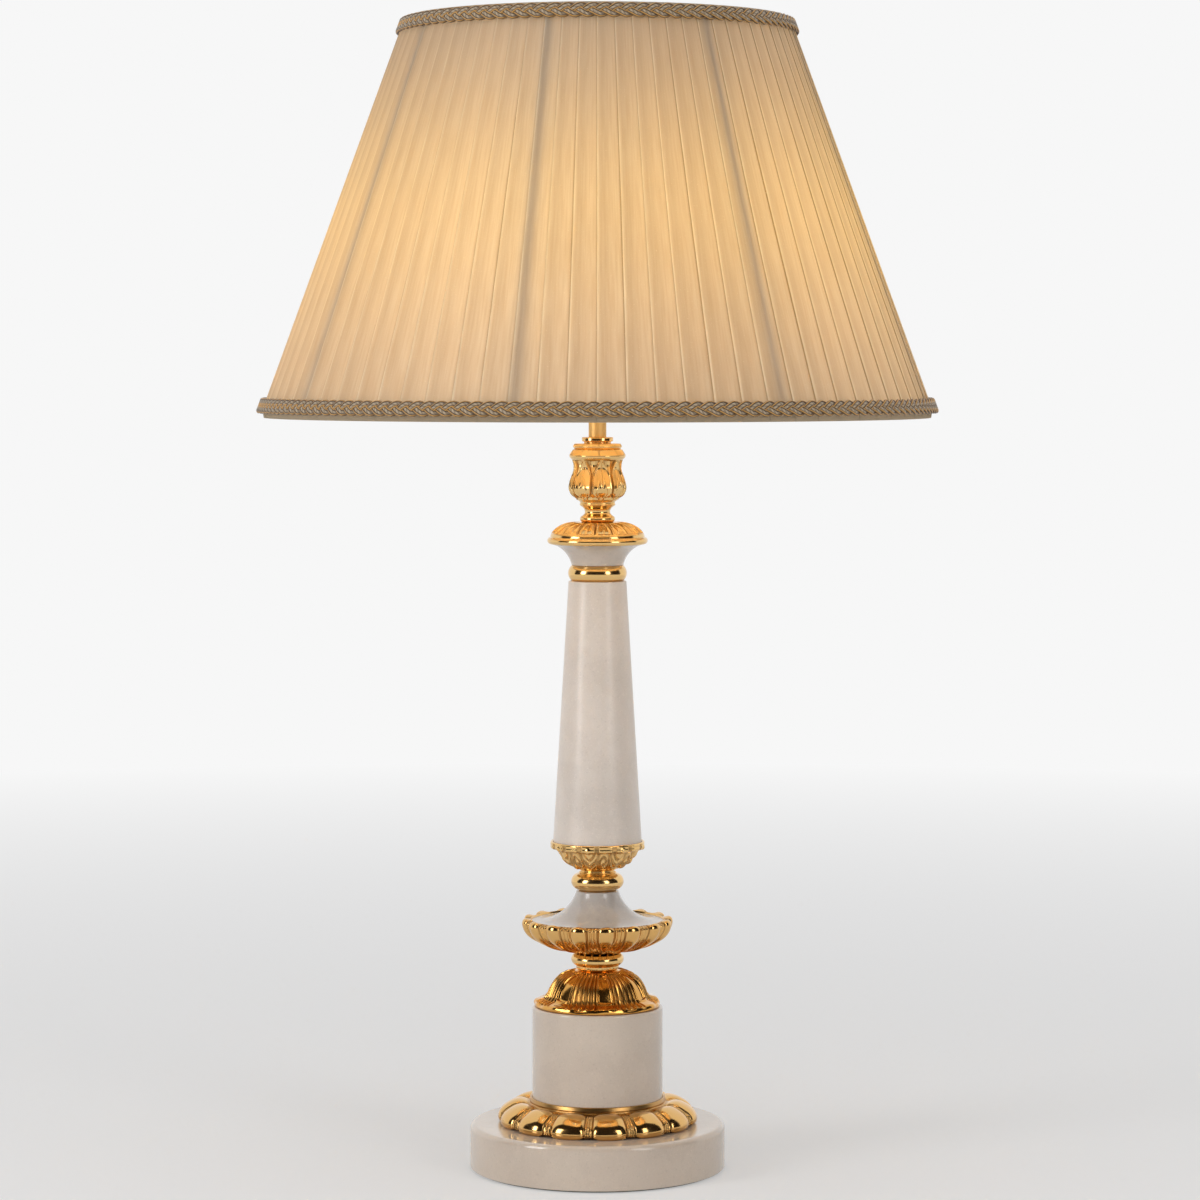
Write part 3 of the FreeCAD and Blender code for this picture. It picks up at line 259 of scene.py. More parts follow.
def drill(piece, height, radius, low, high):
    """Cuts a round hole along the lamp's depth, between two distances behind its axis."""
    sides = 48
    turn = np.arange(sides) * 2 * math.pi / sides
    ring = np.stack([radius * np.cos(turn), 0 * turn, height + radius * np.sin(turn)], axis=1)
    points = np.concatenate([ring + [0, low, 0], ring + [0, high, 0]]) * MM
    near = tuple(range(sides))
    far = tuple(range(sides, 2 * sides))
    wall = [(i, sides + i, sides + (i + 1) % sides, (i + 1) % sides) for i in near]
    tool = faceted("drill", points, wall + [near, far[::-1]])
    cut = piece.modifiers.new("cut", "BOOLEAN")
    cut.operation = "DIFFERENCE"
    cut.object = tool
    done = piece.evaluated_get(bpy.context.evaluated_depsgraph_get())
    result = bpy.data.meshes.new_from_object(done)
    piece.modifiers.clear()
    piece.data = result
    result.set_sharp_from_angle(angle=math.radians(35))
    bpy.data.objects.remove(tool)


# Shapes of carving


def smooth(low, high, value):
    """A soft step from 0 below low to 1 above high."""
    t = np.clip((value - low) / (high - low), 0, 1)
    return t * t * (3 - 2 * t)


def hump(value, centre, width):
    """A soft hump of height 1 around a centre."""
    return np.exp(-((value - centre) / width) ** 2)


def across_lobe(turn, count, first):
    """The angle from the middle of the nearest lobe, in a ring of equal lobes."""
    pitch = 360.0 / count
    return (turn - first + pitch / 2) % pitch - pitch / 2


def lobed(turn, count, first):
    """The pitch of a ring of equal lobes, and the angles from the nearest lobe and gap."""
    pitch = 360.0 / count
    return pitch, across_lobe(turn, count, first), across_lobe(turn, count, first + pitch / 2)


def pillow(across, power):
    """The section of a fat lobe: 1 in its middle and 0 at its edges, where across is -1 or 1."""
    return np.sqrt(np.clip(1 - np.abs(across) ** power, 0, 1))


def ring_relief(turn, share):
    """Fourteen fat lobes, with a dart of three thin ridges and a bead between each two."""
    pitch, off, gap = lobed(turn, 14, 7.3)
    half = pitch * (0.41 - 0.02 * smooth(0.5, 0.9, share))
    inside = np.abs(off) < half
    lobe = pillow(off / half, 2.5)
    depth = (1.0 - 0.25 * smooth(0.45, 0.7, share)) * (1 - smooth(0.78, 0.9, share))
    dart = pitch / 2 - half
    ridges = np.abs(np.cos(math.pi * 1.5 * gap / dart)) ** 0.8
    bead = hump(gap, 0, 1.2) * hump(share, 0.26, 0.05)
    shift = np.where(inside, -3.6 * (1 - lobe), -3.5 + 1.6 * ridges + 1.5 * bead)
    crease = hump(np.abs(off), half, 0.4)
    shift = (shift - 0.4 * crease) * depth * (0.75 + 0.25 * smooth(0.0, 0.06, share))
    recess = np.where(inside, (1 - lobe) ** 2, 1 - ridges) * depth
    cove = hump(share, 0.86, 0.05) + 1.1 * smooth(0.89, 0.91, share)
    return shift, recess + crease * depth + 0.6 * cove


def dome_relief(turn, share):
    """Seven smooth panels with raised edges and a round foot, five ribs between each two, and a
    scalloped rim that the ribs run out into."""
    panels = 7
    first = 8.6
    pitch, off, gap = lobed(turn, panels, first)
    half = 9.0 * (1.0 - 0.14 * smooth(0.6, 0.9, share))
    foot_bend = 0.31 - 0.04 * np.sqrt(np.clip(1 - (off / half) ** 2, 0, 1))
    above = smooth(-0.005, 0.015, share - foot_bend)
    panel = smooth(0.3, -0.6, np.abs(off) - half) * above
    top = 1 - smooth(0.88, 0.94, share)
    tail = smooth(0.1, 0.14, share)
    edge = hump(np.abs(off), half - 0.3, 1.0) * above
    arch = hump(share, foot_bend, 0.018) * (np.abs(off) < half)
    place = gap / (pitch / 2 - half - 0.6)
    ribs = 0.5 - 0.5 * np.cos(2 * math.pi * (2.5 * place + 2.5))
    outside = smooth(-0.1, 0.6, np.abs(off) - half)
    shift = (-1.4 * (1 - ribs)) * outside * tail * (1 - 0.4 * smooth(0.6, 0.9, share))
    shift = shift - 1.1 * panel + 1.05 * np.maximum(edge, arch) * tail
    broad = np.cos(np.radians(panels * (turn - first)))
    fine = np.cos(np.radians(3 * panels * (turn - first)))
    scallops = hump(share, 0.085, 0.05) * (0.8 * broad + 0.3 * fine - 0.6)
    hollow = (1 - ribs) * outside * tail * (0.5 + 0.4 * smooth(0.14, 0.34, share))
    # The ribbed fields between the panels and the dome's foot are made darker
    ribs_and_foot_darker = 0.34 * outside * tail + 0.2 * (1 - tail)
    recess = np.maximum(hollow, ribs_and_foot_darker) * (1 - edge) * top
    return np.minimum(shift * top + scallops, 0.45), recess


def dish_relief(turn, share):
    """Sixteen lobes with wide rounded tips at the rim that narrow downwards, and three soft flutes
    between each two."""
    pitch, off, gap = lobed(turn, 16, 7.0)
    half = pitch * (0.12 + 0.18 * smooth(0.3, 0.84, share))
    inside = np.abs(off) < half
    lobe = pillow(off / half, 2.0)
    place = gap / (pitch / 2 - half)
    flutes = np.cos(math.pi * 1.5 * place) ** 2
    depth = 0.4 + 0.6 * smooth(0.05, 0.45, share)
    swell = 0.9 * smooth(0.55, 0.8, share)
    shift = np.where(inside, -2.4 * (1 - lobe) + swell * lobe, -2.4 + 1.1 * flutes) * depth
    groove = hump(np.abs(off), half, 0.5)
    recess = np.where(inside, (1 - lobe) ** 2, 0.45 * (1 - flutes)) * (0.4 + 0.6 * depth)
    return shift - 0.3 * groove * depth, 0.75 * recess + 0.6 * groove


def cup_relief(turn, share):
    """Eight leaves in the bowl, each with a rib, leaflets and curled edges, scrolls between them,
    and a rim of sixteen blocks that the leaf tips cross."""
    leaves = 8
    first = -12.0
    _, off, gap = lobed(turn, leaves, first)
    bowl = smooth(0.14, 0.2, share) * (1 - smooth(0.72, 0.76, share))
    up = np.clip((share - 0.14) / 0.6, 0, 1)
    half = 6.5 + 8.5 * np.sin(math.pi * np.clip(0.1 + 0.75 * up, 0, 1))
    leaf = np.clip(1 - (off / half) ** 2, 0, 1) ** 0.6
    leaflets = np.abs(np.sin(math.pi * (3.0 * up - 0.01 * off ** 2))) ** 0.8
    rib = hump(off, 0, 1.2)
    aside = gap * 0.5
    upwards = (up - 0.52) * 9.0
    curl = np.hypot(aside, upwards)
    spiral = 0.5 + 0.5 * np.cos(2.1 * curl - np.arctan2(upwards, aside))
    scroll = np.exp(-(curl / 4.4) ** 4) * (0.25 + 0.75 * spiral)
    body = leaf * (0.35 + 0.65 * leaflets) + 0.4 * rib * (leaf > 0)
    carving = (-1.5 + 1.5 * np.maximum(body, scroll)) * bowl
    block = smooth(8.4, 7.4, np.abs(across_lobe(turn, 2 * leaves, first)))
    tip = hump(off, 0, 2.0) * smooth(0.68, 0.76, share) * (1 - smooth(0.9, 0.96, share))
    rim = smooth(0.78, 0.81, share) * (1 - smooth(0.95, 0.985, share))
    shift = carving + (-0.6 + 0.6 * block) * rim + 0.6 * tip
    return shift, bowl * (1 - np.maximum(body, scroll)) * 0.8 + 0.7 * rim * (1 - block)


def cap_relief(turn, share):
    """Sixteen petals with a raised outline, above a polished bead."""
    pitch, off, _ = lobed(turn, 16, 8.0)
    dome = smooth(0.36, 0.4, share) * (1 - smooth(0.93, 0.99, share))
    place = np.clip((share - 0.38) / 0.58, 0, 1)
    half = pitch * (0.42 - 0.2 * place ** 2)
    outline = hump(np.abs(off), half, 1.3)
    groove = hump(np.abs(off), pitch / 2, 1.1)
    belly = 1 - np.clip(off / half, -1, 1) ** 2
    shift = (-0.85 + 0.95 * outline - 0.35 * groove + 0.3 * hump(off, 0, 1.4)) * dome
    shift = shift - 0.25 * dome * belly
    return shift, dome * (0.9 * groove + 0.5 * (1 - outline) * (1 - belly))


def tulip_relief(turn, share):
    """Eight broad leaves with raised edges, round below and pointed above, where their tips flare
    out to the smooth lip, and the tips of a second row between them."""
    pitch, off, gap = lobed(turn, 8, 10.0)
    body = smooth(0.335, 0.36, share) * (1 - smooth(0.84, 0.86, share))
    place = np.clip((share - 0.345) / 0.5, 0, 1)
    round_foot = np.sqrt(np.clip(1 - (1 - np.clip(place / 0.3, 0, 1)) ** 2, 0, 1))
    point = 1 - 0.8 * np.clip((place - 0.66) / 0.34, 0, 1) ** 1.3
    half = 21.0 * np.where(place < 0.3, round_foot, point)
    edge = hump(np.abs(off), half - 1.4, 1.25)
    leaf = smooth(0, 1.6, half - np.abs(off))
    cup = np.clip(1 - (off / np.maximum(half, 1)) ** 2, 0, 1)
    inner_half = 0.56 * half * (1 - 0.6 * smooth(0.15, 0.6, place))
    inner = hump(np.abs(off), inner_half, 1.1) * (1 - smooth(0.5, 0.62, place))
    rib = hump(off, 0, 1.2) * smooth(0.25, 0.45, place)
    behind = smooth(0, 2.0, pitch / 2 - half - np.abs(gap)) * hump(gap, 0, 5.5)
    flare = 0.9 * smooth(0.8, 0.98, place) * leaf
    shift = -2.0 + leaf * (1.0 - 0.5 * cup) + 1.05 * edge + 0.6 * inner + 0.6 * rib + flare
    shift = (shift + 0.7 * behind) * body
    groove = hump(np.abs(off), half + 0.9, 1.1)
    recess = body * np.clip(0.7 * groove + 0.5 * (1 - leaf) - 0.5 * behind, 0, 1)
    return np.minimum(shift, 0.2), recess


# Steps of materials


def new_material(name):
    """An empty material and its node tree."""
    material = bpy.data.materials.new(name)
    material.use_nodes = True
    material.node_tree.nodes.clear()
    return material, material.node_tree


def add(tree, kind, inputs=None, **settings):
    """One node, with its settings. Each input is given a value, or is linked to a socket."""
    node = tree.nodes.new(kind)
    for name, value in settings.items():
        setattr(node, name, value)
    for name, value in (inputs or {}).items():
        if isinstance(value, bpy.types.NodeSocket):
            tree.links.new(value, node.inputs[name])
        else:
            node.inputs[name].default_value = value
    return node


def finish(tree, shader):
    """Sends a shader to the material's output."""
    add(tree, "ShaderNodeOutputMaterial", {"Surface": shader.outputs[0]})


def srgb(red, green, blue):
    """A colour as a painter would read it from a screen, in the numbers that shaders use."""
    values = []
    for value in (red, green, blue):
        value = value / 255.0
        values.append(value / 12.92 if value <= 0.04045 else ((value + 0.055) / 1.055) ** 2.4)
    return (*values, 1.0)


def where(tree):
    """The place on the piece, in metres."""
    return add(tree, "ShaderNodeTexCoord").outputs["Object"]


def parts_of(tree, place):
    """The three numbers of a place."""
    return add(tree, "ShaderNodeSeparateXYZ", {"Vector": place}).outputs


def noise(tree, place, scale, detail=3.0, roughness=0.5):
    """A cloudy pattern from 0 to 1."""
    node = add(tree, "ShaderNodeTexNoise",
               {"Vector": place, "Scale": scale, "Detail": detail, "Roughness": roughness})
    return node.outputs["Fac"]


def spread(tree, value, low, high, first=0.0, last=1.0):
    """A value rescaled from one range to another, and held inside it."""
    node = add(tree, "ShaderNodeMapRange", {"Value": value, "From Min": low, "From Max": high,
                                            "To Min": first, "To Max": last})
    return node.outputs["Result"]


def blend(tree, share, first, second, mode="MIX"):
    """Two colours mixed by a share."""
    inputs = {0: share, 6: first, 7: second}
    return add(tree, "ShaderNodeMix", inputs, data_type="RGBA", blend_type=mode).outputs[2]


def compute(tree, operation, first, second=0.0):
    """One step of arithmetic."""
    return add(tree, "ShaderNodeMath", {0: first, 1: second}, operation=operation).outputs[0]


def times(tree, first, *others):
    """The product of two values or more."""
    for other in others:
        first = compute(tree, "MULTIPLY", first, other)
    return first


def bell(tree, value):
    """A smooth bump: the exponential of minus the square of a value."""
    return compute(tree, "EXPONENT", times(tree, value, value, -1.0))


def bumped(tree, height, strength, distance=0.0003):
    """A fine unevenness of the surface."""
    return add(tree, "ShaderNodeBump", {"Height": height, "Strength": strength,
                                        "Distance": distance}).outputs["Normal"]


def mark(tree, name):
    """A number kept at each point of the piece."""
    return add(tree, "ShaderNodeAttribute", attribute_name=name).outputs["Fac"]


def cloth_place(tree):
    """The place on a cloth or cord as it would lie flat, in metres."""
    return add(tree, "ShaderNodeAttribute", attribute_name="cloth").outputs["Vector"]


def mixed(tree, share, first, second):
    """Two shaders mixed by a share."""
    return add(tree, "ShaderNodeMixShader", {0: share, 1: first.outputs[0],
                                             2: second.outputs[0]})


def scattering(tree, through, surface, share, **more):
    """Cloth that passes scattered light in one colour and sends it back in another."""
    passed = add(tree, "ShaderNodeBsdfTranslucent", {"Color": through, **more})
    sent_back = add(tree, "ShaderNodeBsdfDiffuse", {"Color": surface, **more})
    return mixed(tree, share, passed, sent_back)


def shadowless(tree, shader, share, colour):
    """A shader that lets a share of a light's rays go on behind it, in a colour."""
    shadow = add(tree, "ShaderNodeLightPath").outputs["Is Shadow Ray"]
    passing = add(tree, "ShaderNodeBsdfTransparent", {"Color": colour})
    return mixed(tree, times(tree, shadow, share), shader, passing)


# Materials


def gilt_finish(name, polish, tone):
    """Fire-gilt metal: warm gold, rubbed bright on the crests and left darker in the recesses."""
    material, tree = new_material(name)
    place = where(tree)
    recess = mark(tree, "recess")
    cloud = noise(tree, place, 55.0, 4.0)
    fine = noise(tree, place, 1400.0, 2.0)
    hollow = spread(tree, recess, 0.3, 1.0, 0.0, 0.85)
    warm = blend(tree, cloud, srgb(*tone), srgb(tone[0] - 8, tone[1] - 12, tone[2] - 16))
    colour = blend(tree, hollow, warm, srgb(138, 94, 48))
    rough = compute(tree, "ADD", spread(tree, cloud, 0.3, 0.7, polish, polish + 0.06),
                    spread(tree, recess, 0.2, 0.5, 0.0, 0.16))
    finish(tree, add(tree, "ShaderNodeBsdfPrincipled",
                     {"Base Color": colour, "Metallic": 1.0, "Roughness": rough,
                      "Normal": bumped(tree, fine, 0.05, 0.0002)}))
    return material


def stone_finish(name, light, dark, rough, coat):
    """Polished alabaster: pale, with soft clouds, faint veins and a fine dark and pale speckle."""
    material, tree = new_material(name)
    place = where(tree)
    cloud = noise(tree, place, 14.0, 5.0, 0.55)
    speck = noise(tree, place, 620.0, 3.0, 0.7)
    grain = noise(tree, place, 900.0, 2.0, 0.6)
    vein = noise(tree, place, 34.0, 6.0, 0.6)
    pale = srgb(*(min(255, value + 16) for value in light))
    dusky = srgb(*(value - 34 for value in dark))
    base = blend(tree, spread(tree, cloud, 0.35, 0.68), srgb(*light), srgb(*dark))
    for pattern, low, high, most, tint in ((vein, 0.49, 0.51, 0.12, pale),
                                           (speck, 0.56, 0.75, 0.3, dusky),
                                           (grain, 0.6, 0.72, 0.45, pale)):
        base = blend(tree, spread(tree, pattern, low, high, 0.0, most), base, tint)
    finish(tree, add(tree, "ShaderNodeBsdfPrincipled",
                     {"Base Color": base, "Roughness": rough, "Subsurface Weight": 0.12,
                      "Subsurface Radius": (0.006, 0.004, 0.003), "Subsurface Scale": 1.0,
                      "Coat Weight": coat, "Coat Roughness": 0.06}))
    return material


def plain_finish(name, colour, other, roughness, metallic=0.0, scale=200.0, bump=0.1):
    """A simple finish with a slight unevenness of colour, gloss and surface."""
    material, tree = new_material(name)
    place = where(tree)
    cloud = noise(tree, place, scale, 4.0)
    finish(tree, add(tree, "ShaderNodeBsdfPrincipled",
                     {"Base Color": blend(tree, cloud, srgb(*colour), srgb(*other)),
                      "Metallic": metallic,
                      "Roughness": spread(tree, cloud, 0.2, 0.8, roughness - 0.05,
                                          roughness + 0.07),
                      "Normal": bumped(tree, noise(tree, place, scale * 6), bump)}))
    return material


def strut_shadow(tree):
    """Painted shadow: 1 before each strut of the shade's frame, falling off over some millimetres.
    """
    place = parts_of(tree, where(tree))
    turn = compute(tree, "ARCTAN2", place["X"], times(tree, place["Y"], -1.0))
    turn = compute(tree, "ADD", turn, math.radians(-FIRST_STRUT))
    beside = compute(tree, "PINGPONG", turn, math.radians(STRUT_PITCH / 2))
    across = times(tree, beside, STRUT_RADIUS)
    return bell(tree, compute(tree, "DIVIDE", across, STRUT_SHADOW))


def cover_glow(tree, colour, strut):
    """Painted light in the cloth: a soft glowing band a little above the bulb's middle, with
    painted glints of thread, and weaker in the painted shadow before a strut."""
    height = parts_of(tree, where(tree))["Z"]
    away = compute(tree, "DIVIDE", compute(tree, "SUBTRACT", height, GLOW_HEIGHT), GLOW_REACH)
    glints = spread(tree, noise(tree, cloth_place(tree), 1500.0, 1.0), 0.68, 0.76, 1.0, 2.2)
    unshaded = compute(tree, "SUBTRACT", 1.0, times(tree, strut, 0.5))
    warm = blend(tree, 1.0, colour, (1.0, 0.72, 0.02, 1.0), "MULTIPLY")
    strength = times(tree, bell(tree, away), glints, 0.15, unshaded)
    return add(tree, "ShaderNodeEmission", {"Color": warm, "Strength": strength})


def cover_finish():
    """Pleated voile, lit from behind: each fold is a pale line of painted highlight with a thin
    painted shadow beside it, and its overlap is a little duller. Towards the narrow top the pleats
    close up and pass less, and the struts show as soft painted shadows. A small part of the light
    goes nearly straight through, and a painted glow is added."""
    material, tree = new_material("pleated_voile")
    cloth = cloth_place(tree)
    weave = noise(tree, cloth, 900.0, 2.0, 0.6)
    slub = add(tree, "ShaderNodeMapping", {"Vector": cloth, "Scale": (1.0, 0.05, 1.0)})
    threads = spread(tree, noise(tree, slub.outputs[0], 620.0, 2.0), 0.35, 0.7, 0.0, 0.28)
    crossings = spread(tree, weave, 0.62, 0.75, 0.0, 0.4)
    body = blend(tree, mark(tree, "layers"), srgb(240, 228, 210), srgb(226, 212, 192))
    # Painted highlight on each fold and painted shadow beside it, then the weave
    for share, tint in ((mark(tree, "fold"), (255, 247, 230)),
                        (mark(tree, "crease"), (190, 166, 132)),
                        (threads, (206, 182, 146)),
                        (crossings, (255, 250, 240))):
        body = blend(tree, share, body, srgb(*tint))
    closed = spread(tree, parts_of(tree, cloth)["Y"], 0.06, 0.28, 0.0, 0.35)
    dimmed = blend(tree, closed, body, srgb(120, 96, 70), "MULTIPLY")
    strut = strut_shadow(tree)
    # Painted shadow of the struts on the light that passes the cloth
    dimmed = blend(tree, times(tree, strut, 0.17), dimmed, srgb(120, 112, 106), "MULTIPLY")
    hem = mark(tree, "hem")
    body = blend(tree, hem, body, srgb(212, 200, 182))
    dimmed = blend(tree, hem, dimmed, srgb(206, 194, 172))
    normal = bumped(tree, weave, 0.25)
    shader = scattering(tree, dimmed, body, 0.42, Normal=normal)
    straight = add(tree, "ShaderNodeBsdfRefraction", {"Color": dimmed, "Roughness": 0.6,
                                                      "IOR": 1.2, "Normal": normal})
    shader = mixed(tree, 0.16, shader, straight)
    # Painted glow of the lamp's light in the cloth, weaker in the painted strut shadows
    glow = cover_glow(tree, body, strut)
    shader = add(tree, "ShaderNodeAddShader", {0: shader.outputs[0], 1: glow.outputs[0]})
    finish(tree, shadowless(tree, shader, 0.9, (0.88, 0.88, 0.88, 1.0)))
    return material


def lining_finish():
    """The smooth inner cone, which scatters the bulb's light."""
    material, tree = new_material("shade_lining_cloth")
    weave = noise(tree, where(tree), 900.0, 2.0)
    colour = blend(tree, weave, srgb(250, 242, 226), srgb(240, 230, 210))
    cloth = scattering(tree, colour, colour, 0.5)
    finish(tree, shadowless(tree, cloth, 0.92, (0.95, 0.92, 0.86, 1.0)))
    return material


def braid_finish():
    """Silky taupe cords with gold thread along each strand's edges, and painted shade in the gaps.
    """
    material, tree = new_material("plaited_silk")
    ply = add(tree, "ShaderNodeTexWave",
              {"Vector": cloth_place(tree), "Scale": 220.0, "Distortion": 0.6},
              wave_type="BANDS", bands_direction="DIAGONAL").outputs["Fac"]
    colour = blend(tree, ply, srgb(150, 130, 106), srgb(200, 182, 154))
    colour = blend(tree, mark(tree, "thread"), colour, srgb(212, 162, 90))
    # Painted shade in the gaps between cords and strands, and where a strand dips under another
    colour = blend(tree, mark(tree, "recess"), colour, srgb(58, 36, 18))
    finish(tree, add(tree, "ShaderNodeBsdfPrincipled",
                     {"Base Color": colour, "Roughness": 0.5, "Sheen Weight": 0.4,
                      "Sheen Roughness": 0.4, "Normal": bumped(tree, ply, 0.3)}))
    return material


def bulb_finish():
    """Frosted bulb glass that glows, and lets its own light out."""
    material, tree = new_material("frosted_bulb_glass")
    frost = spread(tree, noise(tree, where(tree), 900.0, 2.0), 0, 1, 0.3, 0.4)
    glass = add(tree, "ShaderNodeBsdfPrincipled",
                {"Base Color": srgb(250, 244, 232), "Roughness": frost,
                 "Transmission Weight": 0.3, "Emission Color": srgb(255, 216, 160),
                 "Emission Strength": 4.0})
    finish(tree, shadowless(tree, glass, 1.0, (1.0, 1.0, 1.0, 1.0)))
    return material


# Painted shade and painted dark reflection: darker copies of the gilt for the ring, dish and dome
GILT = gilt_finish("fire_gilt", 0.12, (239, 200, 136))
DEEP_SHADED_GILT = gilt_finish("deep_shaded_gilt", 0.12, (230, 186, 120))
DOME_SHADED_GILT = gilt_finish("dome_shaded_gilt", 0.12, (227, 172, 94))
SATIN_GILT = gilt_finish("satin_gilt", 0.42, (232, 194, 130))
# Painted shade: the warm and cool copies are darker than the pale alabaster, the cool one colder
WARM_SHADED_STONE = stone_finish("warm_shaded_alabaster", (217, 202, 185), (206, 190, 174), 0.16, 0.5)
COOL_SHADED_STONE = stone_finish("cool_shaded_alabaster", (204, 197, 190), (184, 175, 167), 0.22, 0.5)
PALE_STONE = stone_finish("pale_alabaster", (234, 224, 214), (218, 208, 198), 0.34, 0.12)
FELT = plain_finish("green_felt", (70, 84, 66), (54, 66, 52), 0.9, scale=500.0, bump=0.6)
CORK = plain_finish("pressed_cork", (176, 128, 84), (120, 82, 50), 0.85, scale=400.0, bump=0.5)
STEEL = plain_finish("zinc_steel", (176, 178, 180), (150, 152, 156), 0.38, 1.0)
BUSH = plain_finish("black_bush_plastic", (34, 32, 31), (46, 44, 42), 0.45)
BRASS = plain_finish("holder_brass", (214, 178, 108), (196, 158, 90), 0.28, 1.0)
CERAMIC = plain_finish("glazed_ceramic", (232, 226, 214), (222, 214, 200), 0.25)
CONTACT = plain_finish("bright_contact_metal", (206, 200, 186), (186, 180, 166), 0.3, 1.0)
BLACK = plain_finish("black_bulb_glass", (26, 24, 26), (38, 36, 36), 0.2)
WIRE = plain_finish("lacquered_frame_wire", (214, 202, 180), (196, 184, 162), 0.4)
COVER = cover_finish()
LINING = lining_finish()
BRAID = braid_finish()
GLASS = bulb_finish()


def finish_cad_nodes():
    """The materials of the CAD nodes that show as they are."""
    for material, names in (
            (FELT, ["felt_pad"]), (BUSH, ["cord_bush"]), (CORK, ["cork_washer"]),
            (STEEL, ["steel_washer", "lock_washer", "base_nut", "tie_rod"]),
            (BRASS, ["holder_cap", "holder_shell", "lower_shade_ring", "upper_shade_ring"]),
            (CERAMIC, ["holder_insert", "bulb_mount"]), (BLACK, ["bulb_insulator"]),
            (CONTACT, ["screw_shell", "contact_tongue", "terminal_screws", "bulb_contact",
                       "bulb_cap", "bulb_filament"]),
            (WIRE, ["fitter_ring", "fitter_arms", "shade_bottom_hoop", "shade_top_hoop",
                    "shade_struts"]),
            (GLASS, ["bulb_glass"])):
        for name in names:
            paint(NODES[name], material)


# Stones


def make_stones():
    """The five alabaster pieces, turned from their outlines, and the cord's way in at the back."""
    base = turned("base_stone", rounded([
        (24, 1, 0), (86, 1, 0.8), (86, BASE_TOP, 3.4), (STONE_BORE, BASE_TOP, 0),
        (STONE_BORE, 17, 0), (24, 17, 0)]), 384)
    drill(base, CORD_INLET, 7.9, 84.2, 95.0)
    drill(base, CORD_INLET, 5.3, 15.0, 90.0)
    drum = turned("drum_stone", rounded([
        (STONE_BORE, DRUM_FOOT, 0), (44.1, DRUM_FOOT, 0.4), (44.1, DRUM_TOP, 1.5),
        (STONE_BORE, DRUM_TOP, 0)]), 320)
    brim = bowed((44.6, 166.5), (20.6, 175.4), (14.2, SPOOL_TOP), 40)
    spool = turned("spool_stone", np.concatenate([
        [(STONE_BORE, SPOOL_FOOT), (44.0, SPOOL_FOOT), (44.6, 158.6)],
        rounded([(44.6, 158.6, 0), (44.6, 166.5, 0.6), tuple(brim[3]) + (0,)])[1:-1],
        brim[3:], [(STONE_BORE, SPOOL_TOP)]]), 320, 3.0)
    column = turned("column_stone", rounded([
        (STONE_BORE, COLUMN_FOOT, 0), (30.1, COLUMN_FOOT, 0.3), (19.6, COLUMN_TOP, 0.8),
        (STONE_BORE, COLUMN_TOP, 0)]), 320, 10.0)
    flare = bowed((17.6, CAPITAL_FOOT), (21.6, 414.6), (31.0, CAPITAL_TOP), 24)
    capital = turned("capital_stone", np.concatenate([
        [(STONE_BORE, CAPITAL_FOOT)], flare, [(STONE_BORE, CAPITAL_TOP)]]), 256)
    # Painted shade: darker copies on the low base, drum and spool and on the capital under the cap
    for piece, node, stone in ((base, "base_disc", WARM_SHADED_STONE), (drum, "drum", WARM_SHADED_STONE),
                               (spool, "spool", COOL_SHADED_STONE), (column, "column", PALE_STONE),
                               (capital, "capital", WARM_SHADED_STONE)):
        dress(piece, stone, "stone", "lamp", node)


# Gilt pieces


def make_casting(name, node, gilt, face, back, around, relief):
    """A casting: its face is an open run from the bottom up, with a relief that moves each point
    along the face's normal, and its back closes the outline. The relief is a function of the angle
    from the front and of the share of the face's length. It gives the shift and a mark, which is 0
    on the crests and 1 in the deepest recesses."""
    face = np.asarray(face, float)
    outline = np.concatenate([face, np.asarray(back, float)])
    steps = np.hypot(*np.diff(face, axis=0).T)
    share = np.concatenate([[0.0], np.cumsum(steps)]) / steps.sum()
    turn = np.arange(around) * 360.0 / around
    shift = np.zeros((around, len(outline)))
    recess = np.zeros((around, len(outline)))
    shift[:, :len(face)], recess[:, :len(face)] = relief(turn[:, None], share[None, :])
    piece = mesh_from_grid(name, round_the_axis(outline, turn, shift),
                           {"recess": np.clip(recess, 0, 1)})
    dress(piece, gilt, "gilt", "lamp", node)


